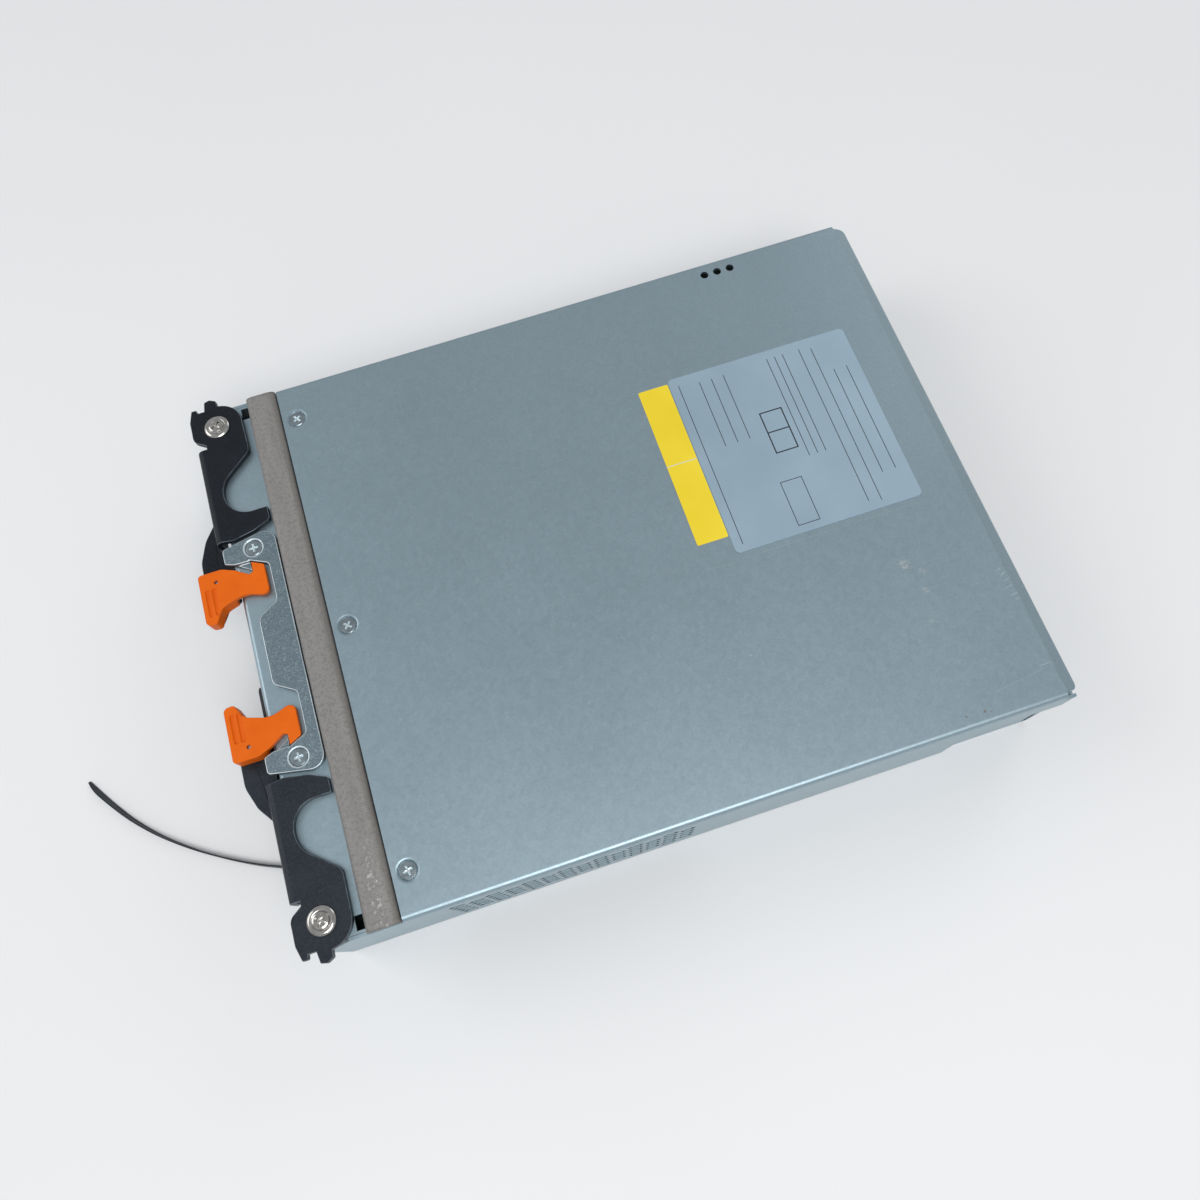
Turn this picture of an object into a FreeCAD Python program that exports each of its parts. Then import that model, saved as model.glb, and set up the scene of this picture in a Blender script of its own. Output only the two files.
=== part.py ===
import FreeCAD, Part
import math
import os

# Hot swap server power supply, millimetres, Z up.
# X runs from the operator's side (levers, latches, mains inlet) to the rear connector.
# The origin is at the middle of the bottom face. "Right" is the -Y side, as the operator sees it.

Vec = FreeCAD.Vector
os.makedirs("parts", exist_ok=True)

# Envelope
body_width = 180.0
body_height = 41.0
cover_length = 206.0
nose_length = 26.0
latch_reach = 11.4

# Sheet metal
sheet = 1.0
bend_radius = 1.6
lap_gap = 0.1
wall_foot = 0.3
nose_drop = 2.4
nose_underlap = 9.0

# Rear lead-in ramp of the cover and the cut-away of its side walls
ramp_length = 4.2
ramp_drop = 2.4
ramp_side_relief = 0.7
ramp_corner = 2.0
cutaway_length = 32.0
cutaway_height = 25.0
rear_flange_lap = 5.0
side_flange_height = 5.0
rear_wall_setback = 0.8

# Side wall nose, cut down below the lever heads
nose_slope_start = 16.0
nose_slope_height = 30.0
nose_corner = 5.0

# Perforation
vent_columns = 14
vent_top_margin = 5.0
vent_pitch_x = 5.4
vent_first_x = 14.2
vent_first_z = 8.5
vent_hex = 4.6
grille_hex = 5.2
grille_pitch = 6.8
grille_margin = 0.8
rear_slot_width = 2.6
rear_slot_top_margin = 5.6
rear_slot_pitch = 6.0
rear_slot_count = 8
rear_slot_first_y = 38.0
rear_slot_low_z = 9.0

# Three gauge holes near the left rear edge of the cover
gauge_hole_radius = 1.4
gauge_hole_pitch = 4.65
gauge_hole_from_rear = 44.1
gauge_hole_from_side = 4.9

# Conductive gasket across the nose
gasket_width = 10.0
gasket_height = 3.2
gasket_gap = 0.6
gasket_end_gap = 0.3
gasket_crown = 1.2

# Two small slots through the nose plate, beside the gasket's ends
nose_slot_length = 2.4
nose_slot_width = 4.2
nose_slot_gap = 0.3
nose_slot_from_side = 4.0

# Countersunk M3 screws
screw_radius = 1.5
screw_hole_radius = 1.7
screw_head_radius = 2.65
countersink_radius = 3.1
screw_sink = 0.25
screw_reach = 6.0
panel_head_height = 1.0
panel_screw_reach = 7.0
cover_screw_x = 4.7
cover_screw_y = 76.85
bracket_screw_x = 7.65
bracket_screw_from_pin = 7.7

# Locking levers, placed by their pivots
pivot_from_front = 4.4
pivot_from_side = 7.5
lever_past_pin = 12.8
lever_tongue = 8.0
lip_from_pivot = 7.0
lever_gap = 0.2
lever_plate = 2.0
lever_lip = 7.8
lever_bend = 2.4
shoulder_radius = 3.0
pivot_fit = 0.05
pivot_head_radius = 4.2
pivot_crown_radius = 2.6
pivot_base_height = 0.8
pivot_crown_height = 0.7
pivot_thread_radius = 1.5
pivot_nut_flats = 5.5
pivot_nut_height = 2.4

# Shelf of the lever, which carries the latch
shelf_thickness = 2.4
shelf_gap = 0.3

# Latches, placed by their pins
pin_from_front = -6.0
pin_y = 27.6
pin_radius = 1.0
pin_fit = 0.04
pin_peep_radius = 0.65
pin_peep_depth = 0.8
latch_thickness = 5.0
latch_over_nose = 0.3
beak_over_tooth = 0.2
groove_depth = 0.6
groove_width = 1.3
groove_length = 9.2
groove_from_pin = 2.0

# Torsion spring round the latch pin
spring_wire = 0.6
spring_radius = 2.1
spring_turns = 2
spring_pocket_radius = 2.75
spring_pocket_depth = 3.0
spring_leg = 5.0
spring_leg_play = 0.3
latch_swing = 18.0

# Centre bracket with the two catch teeth
bracket_thickness = 2.2
tooth_drop = 1.1
beak_clearance = 0.3
beak_reach = 3.3
beak_root = 0.2

# Fans behind the front panel
fan_gap = 0.3
fan_depth = 28.0
fan_wall = 1.0
fan_corner = 2.0
fan_edge = 0.8
fan_hole_inset = 3.0
fan_hub_radius = 8.5
fan_hub_length = 21.0
fan_tip_gap = 0.6
fan_blade_camber = 2.4
fan_blade_pitch = 42.0
fan_blade_count = 7
fan_blade_chord = 11.0
fan_blade_thickness = 1.1
fan_strut_width = 2.0
fan_strut_depth = 2.4
fan_shaft_radius = 1.5
fan_shaft_fit = 0.05

# Mains inlet
inlet_flange_foot = 4.7
inlet_to_lever = 0.3
inlet_flange_thickness = 2.4
inlet_flange_corner = 3.0
inlet_ledge = 2.0
inlet_ear = 9.5
inlet_wall = 2.3
inlet_body_width = 31.0
inlet_body_depth = 21.0
inlet_cavity_depth = 18.0
inlet_clip = 4.0
inlet_screw_inset = 5.0
inlet_pin_width = 8.0
inlet_pin_thickness = 2.0
inlet_pin_spacing = 13.0
inlet_pin_rise = 4.0
inlet_pin_recess = 2.0
inlet_tab_length = 4.0

# Status lights
light_z = (12.0, 19.0, 26.0)
light_radius = 1.5
light_length = 9.0
light_bezel = 0.6

# Retention strap for the mains plug
strap_width = 2.4
strap_thickness = 0.8
strap_head_length = 5.4
strap_head_width = 4.6
strap_head_height = 3.8
strap_lift = 0.2
strap_slot_depth = 3.0
strap_fit = 0.15

# Circuit board and what stands on it
board_thickness = 1.6
board_height = 5.0
board_side_gap = 3.0
board_front_gap = 8.0
board_rear_gap = 12.0
board_tongue_front = 12.0
insulation_thickness = 0.25
standoff_radius = 2.5
board_screw_head_radius = 2.8
board_screw_head_height = 1.6
standoff_hole_gap = 0.5
standoff_inset = 5.0

# Rear connector
connector_width = 62.0
connector_height = 17.0
connector_depth = 20.0
connector_lift = 1.0
connector_flush = 0.4
blade_pitch = 5.4
blade_thickness = 1.4
blade_height = 9.0
blade_tail = 3.0
blade_slot_width = 3.4
signal_width = 14.0
signal_margin = 3.0
blade_margin = 5.0
blade_signal_gap = 2.0

# Parts on the board; each runs from the mains side to the output side
stage_gap = 4.0
filter_choke_radius = 11.0
filter_choke_bore = 5.0
filter_choke_height = 13.0
boost_choke_radius = 12.5
boost_choke_bore = 6.0
boost_choke_height = 15.0
film_capacitor_length = 26.0
film_capacitor_width = 10.0
film_capacitor_height = 18.0
relay_length = 20.0
relay_width = 15.0
relay_height = 15.5
fuse_radius = 2.6
fuse_length = 20.0
fuse_cap_length = 5.0
fuse_cap_wall = 0.4
bulk_radius = 12.5
bulk_headroom = 3.4
bulk_gap = 2.0
output_can_radius = 5.0
output_can_height = 20.0
output_can_pitch = 11.5
output_can_count = 6
rim_height = 0.8
heatsink_height = 26.0
heatsink_web = 2.5
heatsink_fins = 8
heatsink_fin_depth = 9.0
heatsink_fin_thickness = 1.2
primary_sink_length = 68.0
secondary_sink_length = 52.0
package_width = 15.6
package_height = 20.0
package_thickness = 4.8
package_lift = 5.0
package_leg = 1.2
package_pitch = 19.0
core_length = 42.0
core_width = 18.0
core_headroom = 5.4
core_limb = 6.0
winding_wall = 6.0
winding_gap = 0.3
control_length = 40.0
control_height = 24.0
control_thickness = 1.2
control_chip = 8.0
bus_bar_width = 9.0
bus_bar_thickness = 1.5
bus_bar_pitch = 14.0

# Flat sides of screw shafts, of round heads, of the fan bores, of cans and chokes, and of a spring's turn
shaft_sides = 8
round_sides = 16
bore_sides = 32
can_sides = 12
spring_sides = 12

# Planes that other sizes set
rear_x = (latch_reach + nose_length + cover_length) / 2
cover_x = rear_x - cover_length
front_x = cover_x - nose_length
half_width = body_width / 2
inner_half = half_width - sheet - lap_gap
cover_inner_z = body_height - sheet
nose_z = body_height - nose_drop
nose_inner_z = nose_z - sheet
bracket_z = nose_z + bracket_thickness
lever_z = nose_z + lever_gap
lever_top_z = lever_z + lever_plate
lip_z = lever_top_z - lever_lip
shelf_z = lip_z + shelf_thickness
latch_z = shelf_z + shelf_gap
latch_top_z = latch_z + latch_thickness
latch_nose_z = nose_z + latch_over_nose
tooth_z = bracket_z - tooth_drop
beak_z = tooth_z + beak_over_tooth
pivot_x = front_x + pivot_from_front
pivot_y = half_width - pivot_from_side
pin_x = front_x + pin_from_front
lever_inner_y = pin_y + lever_past_pin
bracket_screw_y = pin_y + bracket_screw_from_pin
rear_wall_x = rear_x - rear_wall_setback
board_top_z = board_height + board_thickness
fan_front_x = front_x + sheet
fan_z = (sheet + nose_inner_z) / 2
fan_size = nose_inner_z - sheet - 2 * fan_gap
fan_bore = fan_size / 2 - fan_wall
fan_blade_tip = fan_bore - fan_tip_gap
grille_radius = fan_bore - grille_margin
inlet_flange_height = lip_z - inlet_to_lever - inlet_flange_foot
inlet_flange_width = inlet_body_width + 2 * inlet_ear
inlet_body_height = inlet_flange_height - 2 * inlet_ledge
inlet_cavity_width = inlet_body_width - 2 * inlet_wall
inlet_cavity_height = inlet_body_height - 2 * inlet_wall
inlet_screw_pitch = inlet_flange_width - 2 * inlet_screw_inset
inlet_z = inlet_flange_foot + inlet_flange_height / 2
rear_wall_top = body_height - ramp_drop - 2 * sheet

# What stands side by side in the front panel, from the right wall to the left one. The gaps share
# out the width that is left over.
panel_items = (strap_head_width, inlet_flange_width, fan_size, fan_size, 2 * light_radius)
panel_gap_weights = (24.6, 1.7, 2.0, 7.5, 4.0, 6.4)


def panel_places():
    edge = inner_half - sheet
    free = 2 * edge - sum(panel_items)
    y = -edge
    places = []
    for weight, item in zip(panel_gap_weights, panel_items):
        y += free * weight / sum(panel_gap_weights) + item / 2
        places.append(y)
        y += item / 2
    return places


strap_mount_y, inlet_y, right_fan_y, left_fan_y, light_y = panel_places()
connector_low_z = board_top_z + connector_lift
connector_x = rear_x - connector_flush - connector_depth


# Planes to draw on
def flat(z):
    return lambda a, b: Vec(a, b, z)


def across(y):
    return lambda a, b: Vec(a, y, b)


def facing(x):
    return lambda a, b: Vec(x, a, b)


# A closed outline from corners (a, b, radius), each corner rounded by its own arc
def outline(corners, plane):
    count = len(corners)
    edges = []
    starts = []
    ends = []
    arcs = []
    for i in range(count):
        before = Vec(*corners[i - 1][:2], 0)
        here = Vec(*corners[i][:2], 0)
        after = Vec(*corners[(i + 1) % count][:2], 0)
        radius = corners[i][2] if len(corners[i]) > 2 else 0.0
        back = (before - here).normalize()
        ahead = (after - here).normalize()
        opening = back.getAngle(ahead)
        if radius <= 0 or opening > math.pi - 1e-4:
            starts.append(here)
            ends.append(here)
            arcs.append(None)
            continue
        reach = radius / math.tan(opening / 2)
        middle = (back + ahead).normalize()
        centre = here + middle * (radius / math.sin(opening / 2))
        starts.append(here + back * reach)
        ends.append(here + ahead * reach)
        arcs.append(centre - middle * radius)
    for i in range(count):
        if arcs[i] is not None:
            points = [plane(p.x, p.y) for p in (starts[i], arcs[i], ends[i])]
            edges.append(Part.Arc(*points).toShape())
        nxt = (i + 1) % count
        if ends[i].distanceToPoint(starts[nxt]) > 1e-6:
            run = (plane(ends[i].x, ends[i].y), plane(starts[nxt].x, starts[nxt].y))
            edges.append(Part.LineSegment(*run).toShape())
    return Part.Wire(edges)


def plate(corners, low, high):
    return Part.Face(outline(corners, flat(low))).extrude(Vec(0, 0, high - low))


def plate_across(corners, y_low, y_high):
    return Part.Face(outline(corners, across(y_low))).extrude(Vec(0, y_high - y_low, 0))


def plate_facing(corners, x_low, x_high):
    return Part.Face(outline(corners, facing(x_low))).extrude(Vec(x_high - x_low, 0, 0))


def block(x, y, z):
    return Part.makeBox(x[1] - x[0], y[1] - y[0], z[1] - z[0], Vec(x[0], y[0], z[0]))


def rod(x, y, low, high, radius):
    return Part.makeCylinder(radius, high - low, Vec(x, y, low))


def rod_x(x_low, x_high, y, z, radius):
    return Part.makeCylinder(radius, x_high - x_low, Vec(x_low, y, z), Vec(1, 0, 0))


def turned(profile, x, y):
    points = [Vec(x + r, y, z) for r, z in profile]
    points.append(points[0])
    face = Part.Face(Part.makePolygon(points))
    return face.revolve(Vec(x, y, 0), Vec(0, 0, 1), 360)


def rectangle(a_low, a_high, b_low, b_high, radius=0.0):
    return [(a_low, b_low, radius), (a_high, b_low, radius), (a_high, b_high, radius), (a_low, b_high, radius)]


# A rectangle round (a, b) with its two upper corners cut off
def clipped_top(a, b, width, height, clip):
    half, low, high = width / 2, b - height / 2, b + height / 2
    return [(a - half, low), (a + half, low), (a + half, high - clip), (a + half - clip, high),
            (a - half + clip, high), (a - half, high - clip)]


def many_sided(a, b, radius, sides, start=0):
    angles = [math.radians(start + 360 * k / sides) for k in range(sides)]
    return [(a + radius * math.cos(t), b + radius * math.sin(t)) for t in angles]


def hexagon(a, b, flats, start=0):
    return many_sided(a, b, flats / math.sqrt(3), 6, start)


# A solid skinned with flat faces over rings that have the same number of corners
def skinned(rings):
    faces = [Part.Face(Part.makePolygon(ring + ring[:1])) for ring in (rings[0][::-1], rings[-1])]
    for low, high in zip(rings, rings[1:]):
        for i in range(len(low)):
            for corners in ((low[i - 1], low[i], high[i]), (low[i - 1], high[i], high[i - 1])):
                faces.append(Part.Face(Part.makePolygon([*corners, corners[0]])))
    solid = Part.makeSolid(Part.makeShell(faces)).removeSplitter()
    return solid if solid.Volume > 0 else solid.reversed()


# Small round bodies are stacks of flat-sided drums: levels are (height, radius) pairs along an axis
def drum(levels, place, sides=shaft_sides):
    return skinned([[place(height, a, b) for a, b in many_sided(0, 0, radius, sides)]
                    for height, radius in levels])


def upright(x, y):
    return lambda height, a, b: Vec(x + a, y + b, height)


def lengthwise(y, z):
    return lambda height, a, b: Vec(height, y + a, z + b)


def joined(shapes):
    whole = shapes[0]
    if len(shapes) > 1:
        whole = whole.fuse(shapes[1:])
    return whole.removeSplitter()


def cut_by(shape, tools):
    return shape.cut(Part.makeCompound(tools))


def mirrored(shape):
    return shape.mirror(Vec(0, 0, 0), Vec(0, 1, 0))


def save(name, *solids):
    shape = solids[0] if len(solids) == 1 else Part.makeCompound(list(solids))
    shape.exportStep("parts/" + name + ".step")
    good = shape.isValid() and all(s.isClosed() for s in shape.Solids)
    print(name, len(shape.Solids), round(shape.Volume, 1), "ok" if good else "BAD")


# Countersunk screw with its head just under the surface at z
def countersunk_screw(x, y, z, reach):
    cone = screw_head_radius - screw_radius
    cone_top = z - (countersink_radius - screw_head_radius)
    shaft = drum([(z - reach, screw_radius), (cone_top - cone, screw_radius)], upright(x, y))
    levels = [(cone_top - cone, screw_radius), (cone_top, screw_head_radius),
              (z - screw_sink, screw_head_radius)]
    head = drum(levels, upright(x, y), round_sides)
    return shaft.fuse(head)


def countersink(x, y, z, depth):
    cone = countersink_radius - screw_hole_radius
    return drum([(z - depth, screw_hole_radius), (z - cone, screw_hole_radius), (z, countersink_radius),
                 (z + sheet, countersink_radius)], upright(x, y), round_sides)


cover_screw_places = [(cover_x + cover_screw_x, y) for y in (-cover_screw_y, 0.0, cover_screw_y)]
bracket_screw_places = [(front_x + bracket_screw_x, y) for y in (-bracket_screw_y, bracket_screw_y)]


# Outer cover: top, side walls, vents in the right one, lead-in ramp at the rear
def side_vents():
    tools = []
    pitch_z = vent_pitch_x * 2 / math.sqrt(3)
    for column in range(vent_columns):
        first_z = vent_first_z + column % 2 * pitch_z / 2
        for row in range(int((body_height - vent_top_margin - first_z) / pitch_z) + 1):
            x = cover_x + vent_first_x + column * vent_pitch_x
            z = first_z + row * pitch_z
            tools.append(plate_across(hexagon(x, z, vent_hex), -half_width - sheet, -half_width + 2 * sheet))
    return tools


def cover_dimple(x, y):
    ring = countersink_radius + 1.1
    funnel = drum([(nose_z, screw_hole_radius + 1.2), (cover_inner_z, ring), (body_height, ring)],
                  upright(x, y), round_sides)
    return funnel.cut(countersink(x, y, body_height, body_height - nose_z + sheet))


def outer_cover():
    ramp_x = rear_x - ramp_length
    inner = half_width - sheet
    inner_bend = bend_radius - sheet
    shell = [(-half_width, wall_foot), (-half_width, body_height, bend_radius),
             (half_width, body_height, bend_radius), (half_width, wall_foot), (inner, wall_foot),
             (inner, cover_inner_z, inner_bend), (-inner, cover_inner_z, inner_bend), (-inner, wall_foot)]
    body = plate_facing(shell, front_x, ramp_x)
    walls = [plate_across(rectangle(ramp_x, rear_x, wall_foot, rear_wall_top), y, y + sheet)
             for y in (-half_width, inner)]
    slope = [(ramp_x, cover_inner_z), (ramp_x, body_height), (rear_x, body_height - ramp_drop),
             (rear_x, body_height - ramp_drop - sheet)]
    ramp_half = inner - ramp_side_relief
    ramp = plate_across(slope, -ramp_half, ramp_half)
    trim = plate([(ramp_x - sheet, -ramp_half), (rear_x, -ramp_half, ramp_corner),
                  (rear_x, ramp_half, ramp_corner), (ramp_x - sheet, ramp_half)], 0, body_height)
    body = joined([body, *walls, ramp.common(trim)])
    over_nose = block((front_x - sheet, cover_x), (-body_width, body_width), (nose_z, body_height + sheet))
    high = nose_z + sheet
    slope_x = front_x + nose_length - nose_slope_start
    nose_cut = [(front_x - sheet, nose_slope_height - nose_corner), (front_x, nose_slope_height - nose_corner),
                (front_x + nose_corner / 2, nose_slope_height, nose_corner), (slope_x, nose_z), (slope_x, high),
                (front_x - sheet, high)]
    cutaway = block((rear_x - cutaway_length, rear_x + sheet), (-body_width, body_width), (0, cutaway_height))
    gauges = [drum([(cover_inner_z - sheet, gauge_hole_radius), (body_height + sheet, gauge_hole_radius)],
                   upright(rear_x - gauge_hole_from_rear - k * gauge_hole_pitch,
                           half_width - gauge_hole_from_side), round_sides) for k in range(3)]
    seats = [rod(x, y, cover_inner_z - sheet, body_height + sheet, countersink_radius + 1.0)
             for x, y in cover_screw_places]
    body = cut_by(body, [over_nose, plate_across(nose_cut, -body_width, body_width), cutaway]
                  + gauges + seats)
    body = cut_by(body, side_vents())
    return joined([body] + [cover_dimple(x, y) for x, y in cover_screw_places])


# Base tray: floor, front panel, nose plate and rear wall folded from one sheet
def grille_holes(y, z):
    tools = []
    step = int(grille_radius / grille_pitch) + 2
    for row in range(-step, step + 1):
        for column in range(-step, step + 1):
            a = (column + 0.5 * (row % 2)) * grille_pitch
            b = row * grille_pitch * math.sqrt(3) / 2
            if math.hypot(a, b) <= grille_radius - grille_hex / 2:
                hole = hexagon(y + a, z + b, grille_hex, 30)
                tools.append(plate_facing(hole, front_x - sheet, front_x + 2 * sheet))
    return tools


def rear_slots():
    tools = []
    top = rear_wall_top - rear_slot_top_margin
    for side in (-1, 1):
        for k in range(rear_slot_count):
            y = side * (rear_slot_first_y + k * rear_slot_pitch)
            slot = rectangle(y - rear_slot_width / 2, y + rear_slot_width / 2, rear_slot_low_z, top)
            tools.append(plate_facing(slot, rear_wall_x - 2 * sheet, rear_x + sheet))
    return tools


def nose_slots():
    x = cover_x - gasket_gap - gasket_width - nose_slot_gap
    half = nose_slot_width / 2
    return [plate(rectangle(x - nose_slot_length, x, y - half, y + half), nose_inner_z - sheet, nose_z + sheet)
            for y in (nose_slot_from_side - half_width, half_width - nose_slot_from_side)]


def base_tray():
    inner_bend = bend_radius - sheet
    tail = cover_x + nose_underlap
    fold = [(tail, nose_z), (front_x, nose_z, bend_radius), (front_x, 0, bend_radius),
            (rear_wall_x, 0, bend_radius), (rear_wall_x, rear_wall_top), (rear_wall_x - sheet, rear_wall_top),
            (rear_wall_x - sheet, sheet, inner_bend), (front_x + sheet, sheet, inner_bend),
            (front_x + sheet, nose_inner_z, inner_bend), (tail, nose_inner_z)]
    body = plate_across(fold, -inner_half, inner_half)
    rear_flange_height = cutaway_height + rear_flange_lap
    flange = [(front_x + 2 * bend_radius, 0), (rear_wall_x - 2 * bend_radius, 0),
              (rear_wall_x - 2 * bend_radius, rear_flange_height, bend_radius),
              (rear_x - cutaway_length - bend_radius, rear_flange_height, bend_radius),
              (rear_x - cutaway_length - bend_radius, side_flange_height, bend_radius),
              (front_x + 2 * bend_radius, side_flange_height, bend_radius)]
    flanges = [plate_across(flange, y, y + sheet) for y in (-inner_half, inner_half - sheet)]
    body = joined([body, *flanges])
    panel = (front_x - sheet, front_x + 2 * sheet)
    tools = [drum([(nose_inner_z - sheet, screw_radius), (nose_z + sheet, screw_radius)], upright(x, y))
             for x, y in cover_screw_places + bracket_screw_places]
    tools += [rod(pivot_x, y, nose_inner_z - sheet, nose_z + sheet, pivot_thread_radius)
              for y in (-pivot_y, pivot_y)]
    tools.append(plate_facing(clipped_top(inlet_y, inlet_z, inlet_body_width, inlet_body_height, inlet_clip),
                              *panel))
    screw_places = fan_screw_places + [(y, inlet_z) for y in inlet_screw_places]
    tools += [drum([(x, screw_radius) for x in panel], lengthwise(y, z)) for y, z in screw_places]
    tools += [drum([(x, light_radius) for x in panel], lengthwise(light_y, z), round_sides) for z in light_z]
    for y in (right_fan_y, left_fan_y):
        tools += grille_holes(y, fan_z)
    tools.append(plate_facing(rectangle(-connector_width / 2, connector_width / 2, connector_low_z,
                                        connector_low_z + connector_height),
                              rear_wall_x - 2 * sheet, rear_x + sheet))
    return cut_by(body, tools + rear_slots() + nose_slots())


# Gasket: a crowned strip that lies on the nose plate
def emi_gasket():
    back = cover_x - gasket_gap
    front = back - gasket_width
    top = nose_z + gasket_height
    crown = [(front, nose_z, 0.3), (back, nose_z, 0.3), (back, top - 0.4, gasket_crown),
             ((front + back) / 2, top, 3 * gasket_width), (front, top - 0.4, gasket_crown)]
    half = half_width - gasket_end_gap
    return plate_across(crown, -half, half)


# Centre bracket: two pads with catch teeth, which hold the latches
def latch_bracket():
    rear = front_x + nose_length - gasket_gap - gasket_width - 0.2
    q = -pin_y
    f = front_x
    half = [(f - 2.2, 2.8 - lever_inner_y, 1.3), (f - 2.2, q - 4.8, 0.8), (f + 1.6, q - 3.4, 1.0),
            (f + 5.65, q - 0.6), (f + 5.65, q - 3.8), (f + 11.4, q - 1.0, 1.5),
            (f + 11.4, q + 12.2, 2.0), (f + 4.7, q + 16.4, 3.0)]
    end = [(rear, -lever_inner_y - 0.7, 4.2)]
    right = end + half
    left = [(x, -y, *radius) for x, y, *radius in reversed(right)]
    body = plate(right + left, nose_z, bracket_z)
    sinks = [countersink(x, y, bracket_z, 2 * bracket_thickness) for x, y in bracket_screw_places]
    return cut_by(body, sinks + [coined_tooth(), mirrored(coined_tooth())])


# The tooth is thinner than its pad, so that the latch beak swings over it
def coined_tooth():
    swing = pivot_y - pin_y - beak_reach - beak_clearance
    zone = block((front_x + 0.5, front_x + 6.0), (-pin_y - 4.0, -pin_y + 0.6), (tooth_z, bracket_z + sheet))
    return zone.cut(rod(pivot_x, -pivot_y, 0, body_height + bracket_thickness, swing))


# Lever plan for the right side: outer half set by the pivot, inner half by the latch pin, and between
# them the round finger cut, whose arcs follow its width
def lever_plan():
    f = front_x
    p = -pivot_y
    e = -lever_inner_y
    cut_in = e - lever_tongue
    cut_out = p + 12.0
    span = cut_in - cut_out
    return [(f - 1.6, e, 0.0), (f + 2.0, e + 0.6, 4.0), (f + 9.3, e - 0.9, 6.0), (f + 14.8, e - 3.4, 1.2),
            (f + 14.8, cut_in), (f + 2.0, cut_in, 0.36 * span),
            (f + 2.0, cut_in - 0.57 * span, 0.4 * span), (f + 13.1, cut_out, min(3.0, span / 4)),
            (f + 12.8, p - 6.3, 7.5), (f + 5.7, p - 8.3), (f + 5.6, p - 10.4), (f + 3.6, p - 11.4, 0.6),
            (f + 1.7, p - 10.9, 0.6), (f + 1.2, p - 7.5), (f - 1.1, p - 7.5), (f - 1.3, p - 8.9),
            (f - 3.0, p - 8.9), (f - 4.2, p - 4.5, 2.0), (f - 4.2, p + 3.0, 3.0), (f - 0.4, p + 5.7),
            (f - 0.4, p + lip_from_pivot, 0.0), (f - 1.6, p + lip_from_pivot, 0.0)]


# Shelf under the latch, joined to the foot of the lever's lip
def shelf_plan():
    f = front_x
    q = -pin_y
    return [(f - 2.4, q - 24.2, 0.0), (f - 3.9, q - 24.2, 0.8), (f - 8.6, q - 17.6, 8.0),
            (f - 11.2, q - 10.4, 8.0), (f - 11.2, q + 11.4, 1.0), (f - 8.2, q + 11.4, 1.0),
            (f - 5.6, q + 7.2, 3.0), (f - 1.4, q + 6.0, 1.0), (f - 1.4, -lever_inner_y, 0.4),
            (f - 2.4, -lever_inner_y, 0.0)]


def right_lever():
    lip_front = front_x - 4.0
    lip_back = lip_front + lever_plate - 0.2
    lip = [(lip_front, lip_z, 0.4), (lip_front, lever_top_z, lever_bend), (front_x - 1.4, lever_top_z),
           (front_x - 1.4, lever_z), (lip_back, lever_z, 0.5), (lip_back, lip_z)]
    body = joined([plate(lever_plan(), lever_z, lever_top_z),
                   plate_across(lip, lip_from_pivot - pivot_y, -lever_inner_y),
                   plate(shelf_plan(), lip_z, shelf_z)])
    bore = rod(pivot_x, -pivot_y, lever_z - sheet, lever_top_z + sheet, shoulder_radius + pivot_fit)
    pin_hole = rod(pin_x, -pin_y, lip_z - sheet, shelf_z + sheet, pin_radius)
    return cut_by(body, [bore, pin_hole])


def pivot_screw(y):
    seat = lever_top_z + pivot_fit
    base = seat + pivot_base_height
    crown = base + pivot_crown_height
    end = nose_inner_z - pivot_nut_height - 1.0
    return turned([(0, end), (pivot_thread_radius, end), (pivot_thread_radius, nose_z),
                   (shoulder_radius, nose_z), (shoulder_radius, seat), (pivot_head_radius, seat),
                   (pivot_head_radius, base), (pivot_crown_radius, base), (pivot_crown_radius, crown),
                   (0, crown)], pivot_x, y)


def pivot_nut(y):
    nut = plate(hexagon(pivot_x, y, pivot_nut_flats, 30), nose_inner_z - pivot_nut_height, nose_inner_z)
    return nut.cut(rod(pivot_x, y, 0, nose_z, pivot_thread_radius))


# Latch: grip with two grooves, a thin nose over the nose plate and a beak behind the tooth
def latch_plan():
    f = front_x
    q = -pin_y
    return [(f - latch_reach, q - 3.8, 1.2), (f - latch_reach, q + 13.7, 1.6), (f - 8.0, q + 14.0, 1.2),
            (f - 5.8, q + 9.3, 4.0), (f + 2.0, q + 6.7, 8.0), (f + 7.2, q + 8.7, 1.0), (f + 9.8, q + 8.7, 1.8),
            (f + 9.8, q - 1.3, 0.8), (f + 5.95, q - beak_reach), (f + 5.95, q + beak_root),
            (f + 4.6, q + 0.7, 0.6), (f + 0.6, q - 2.0, 4.0), (f - 3.6, q - 3.8, 5.0)]


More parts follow.
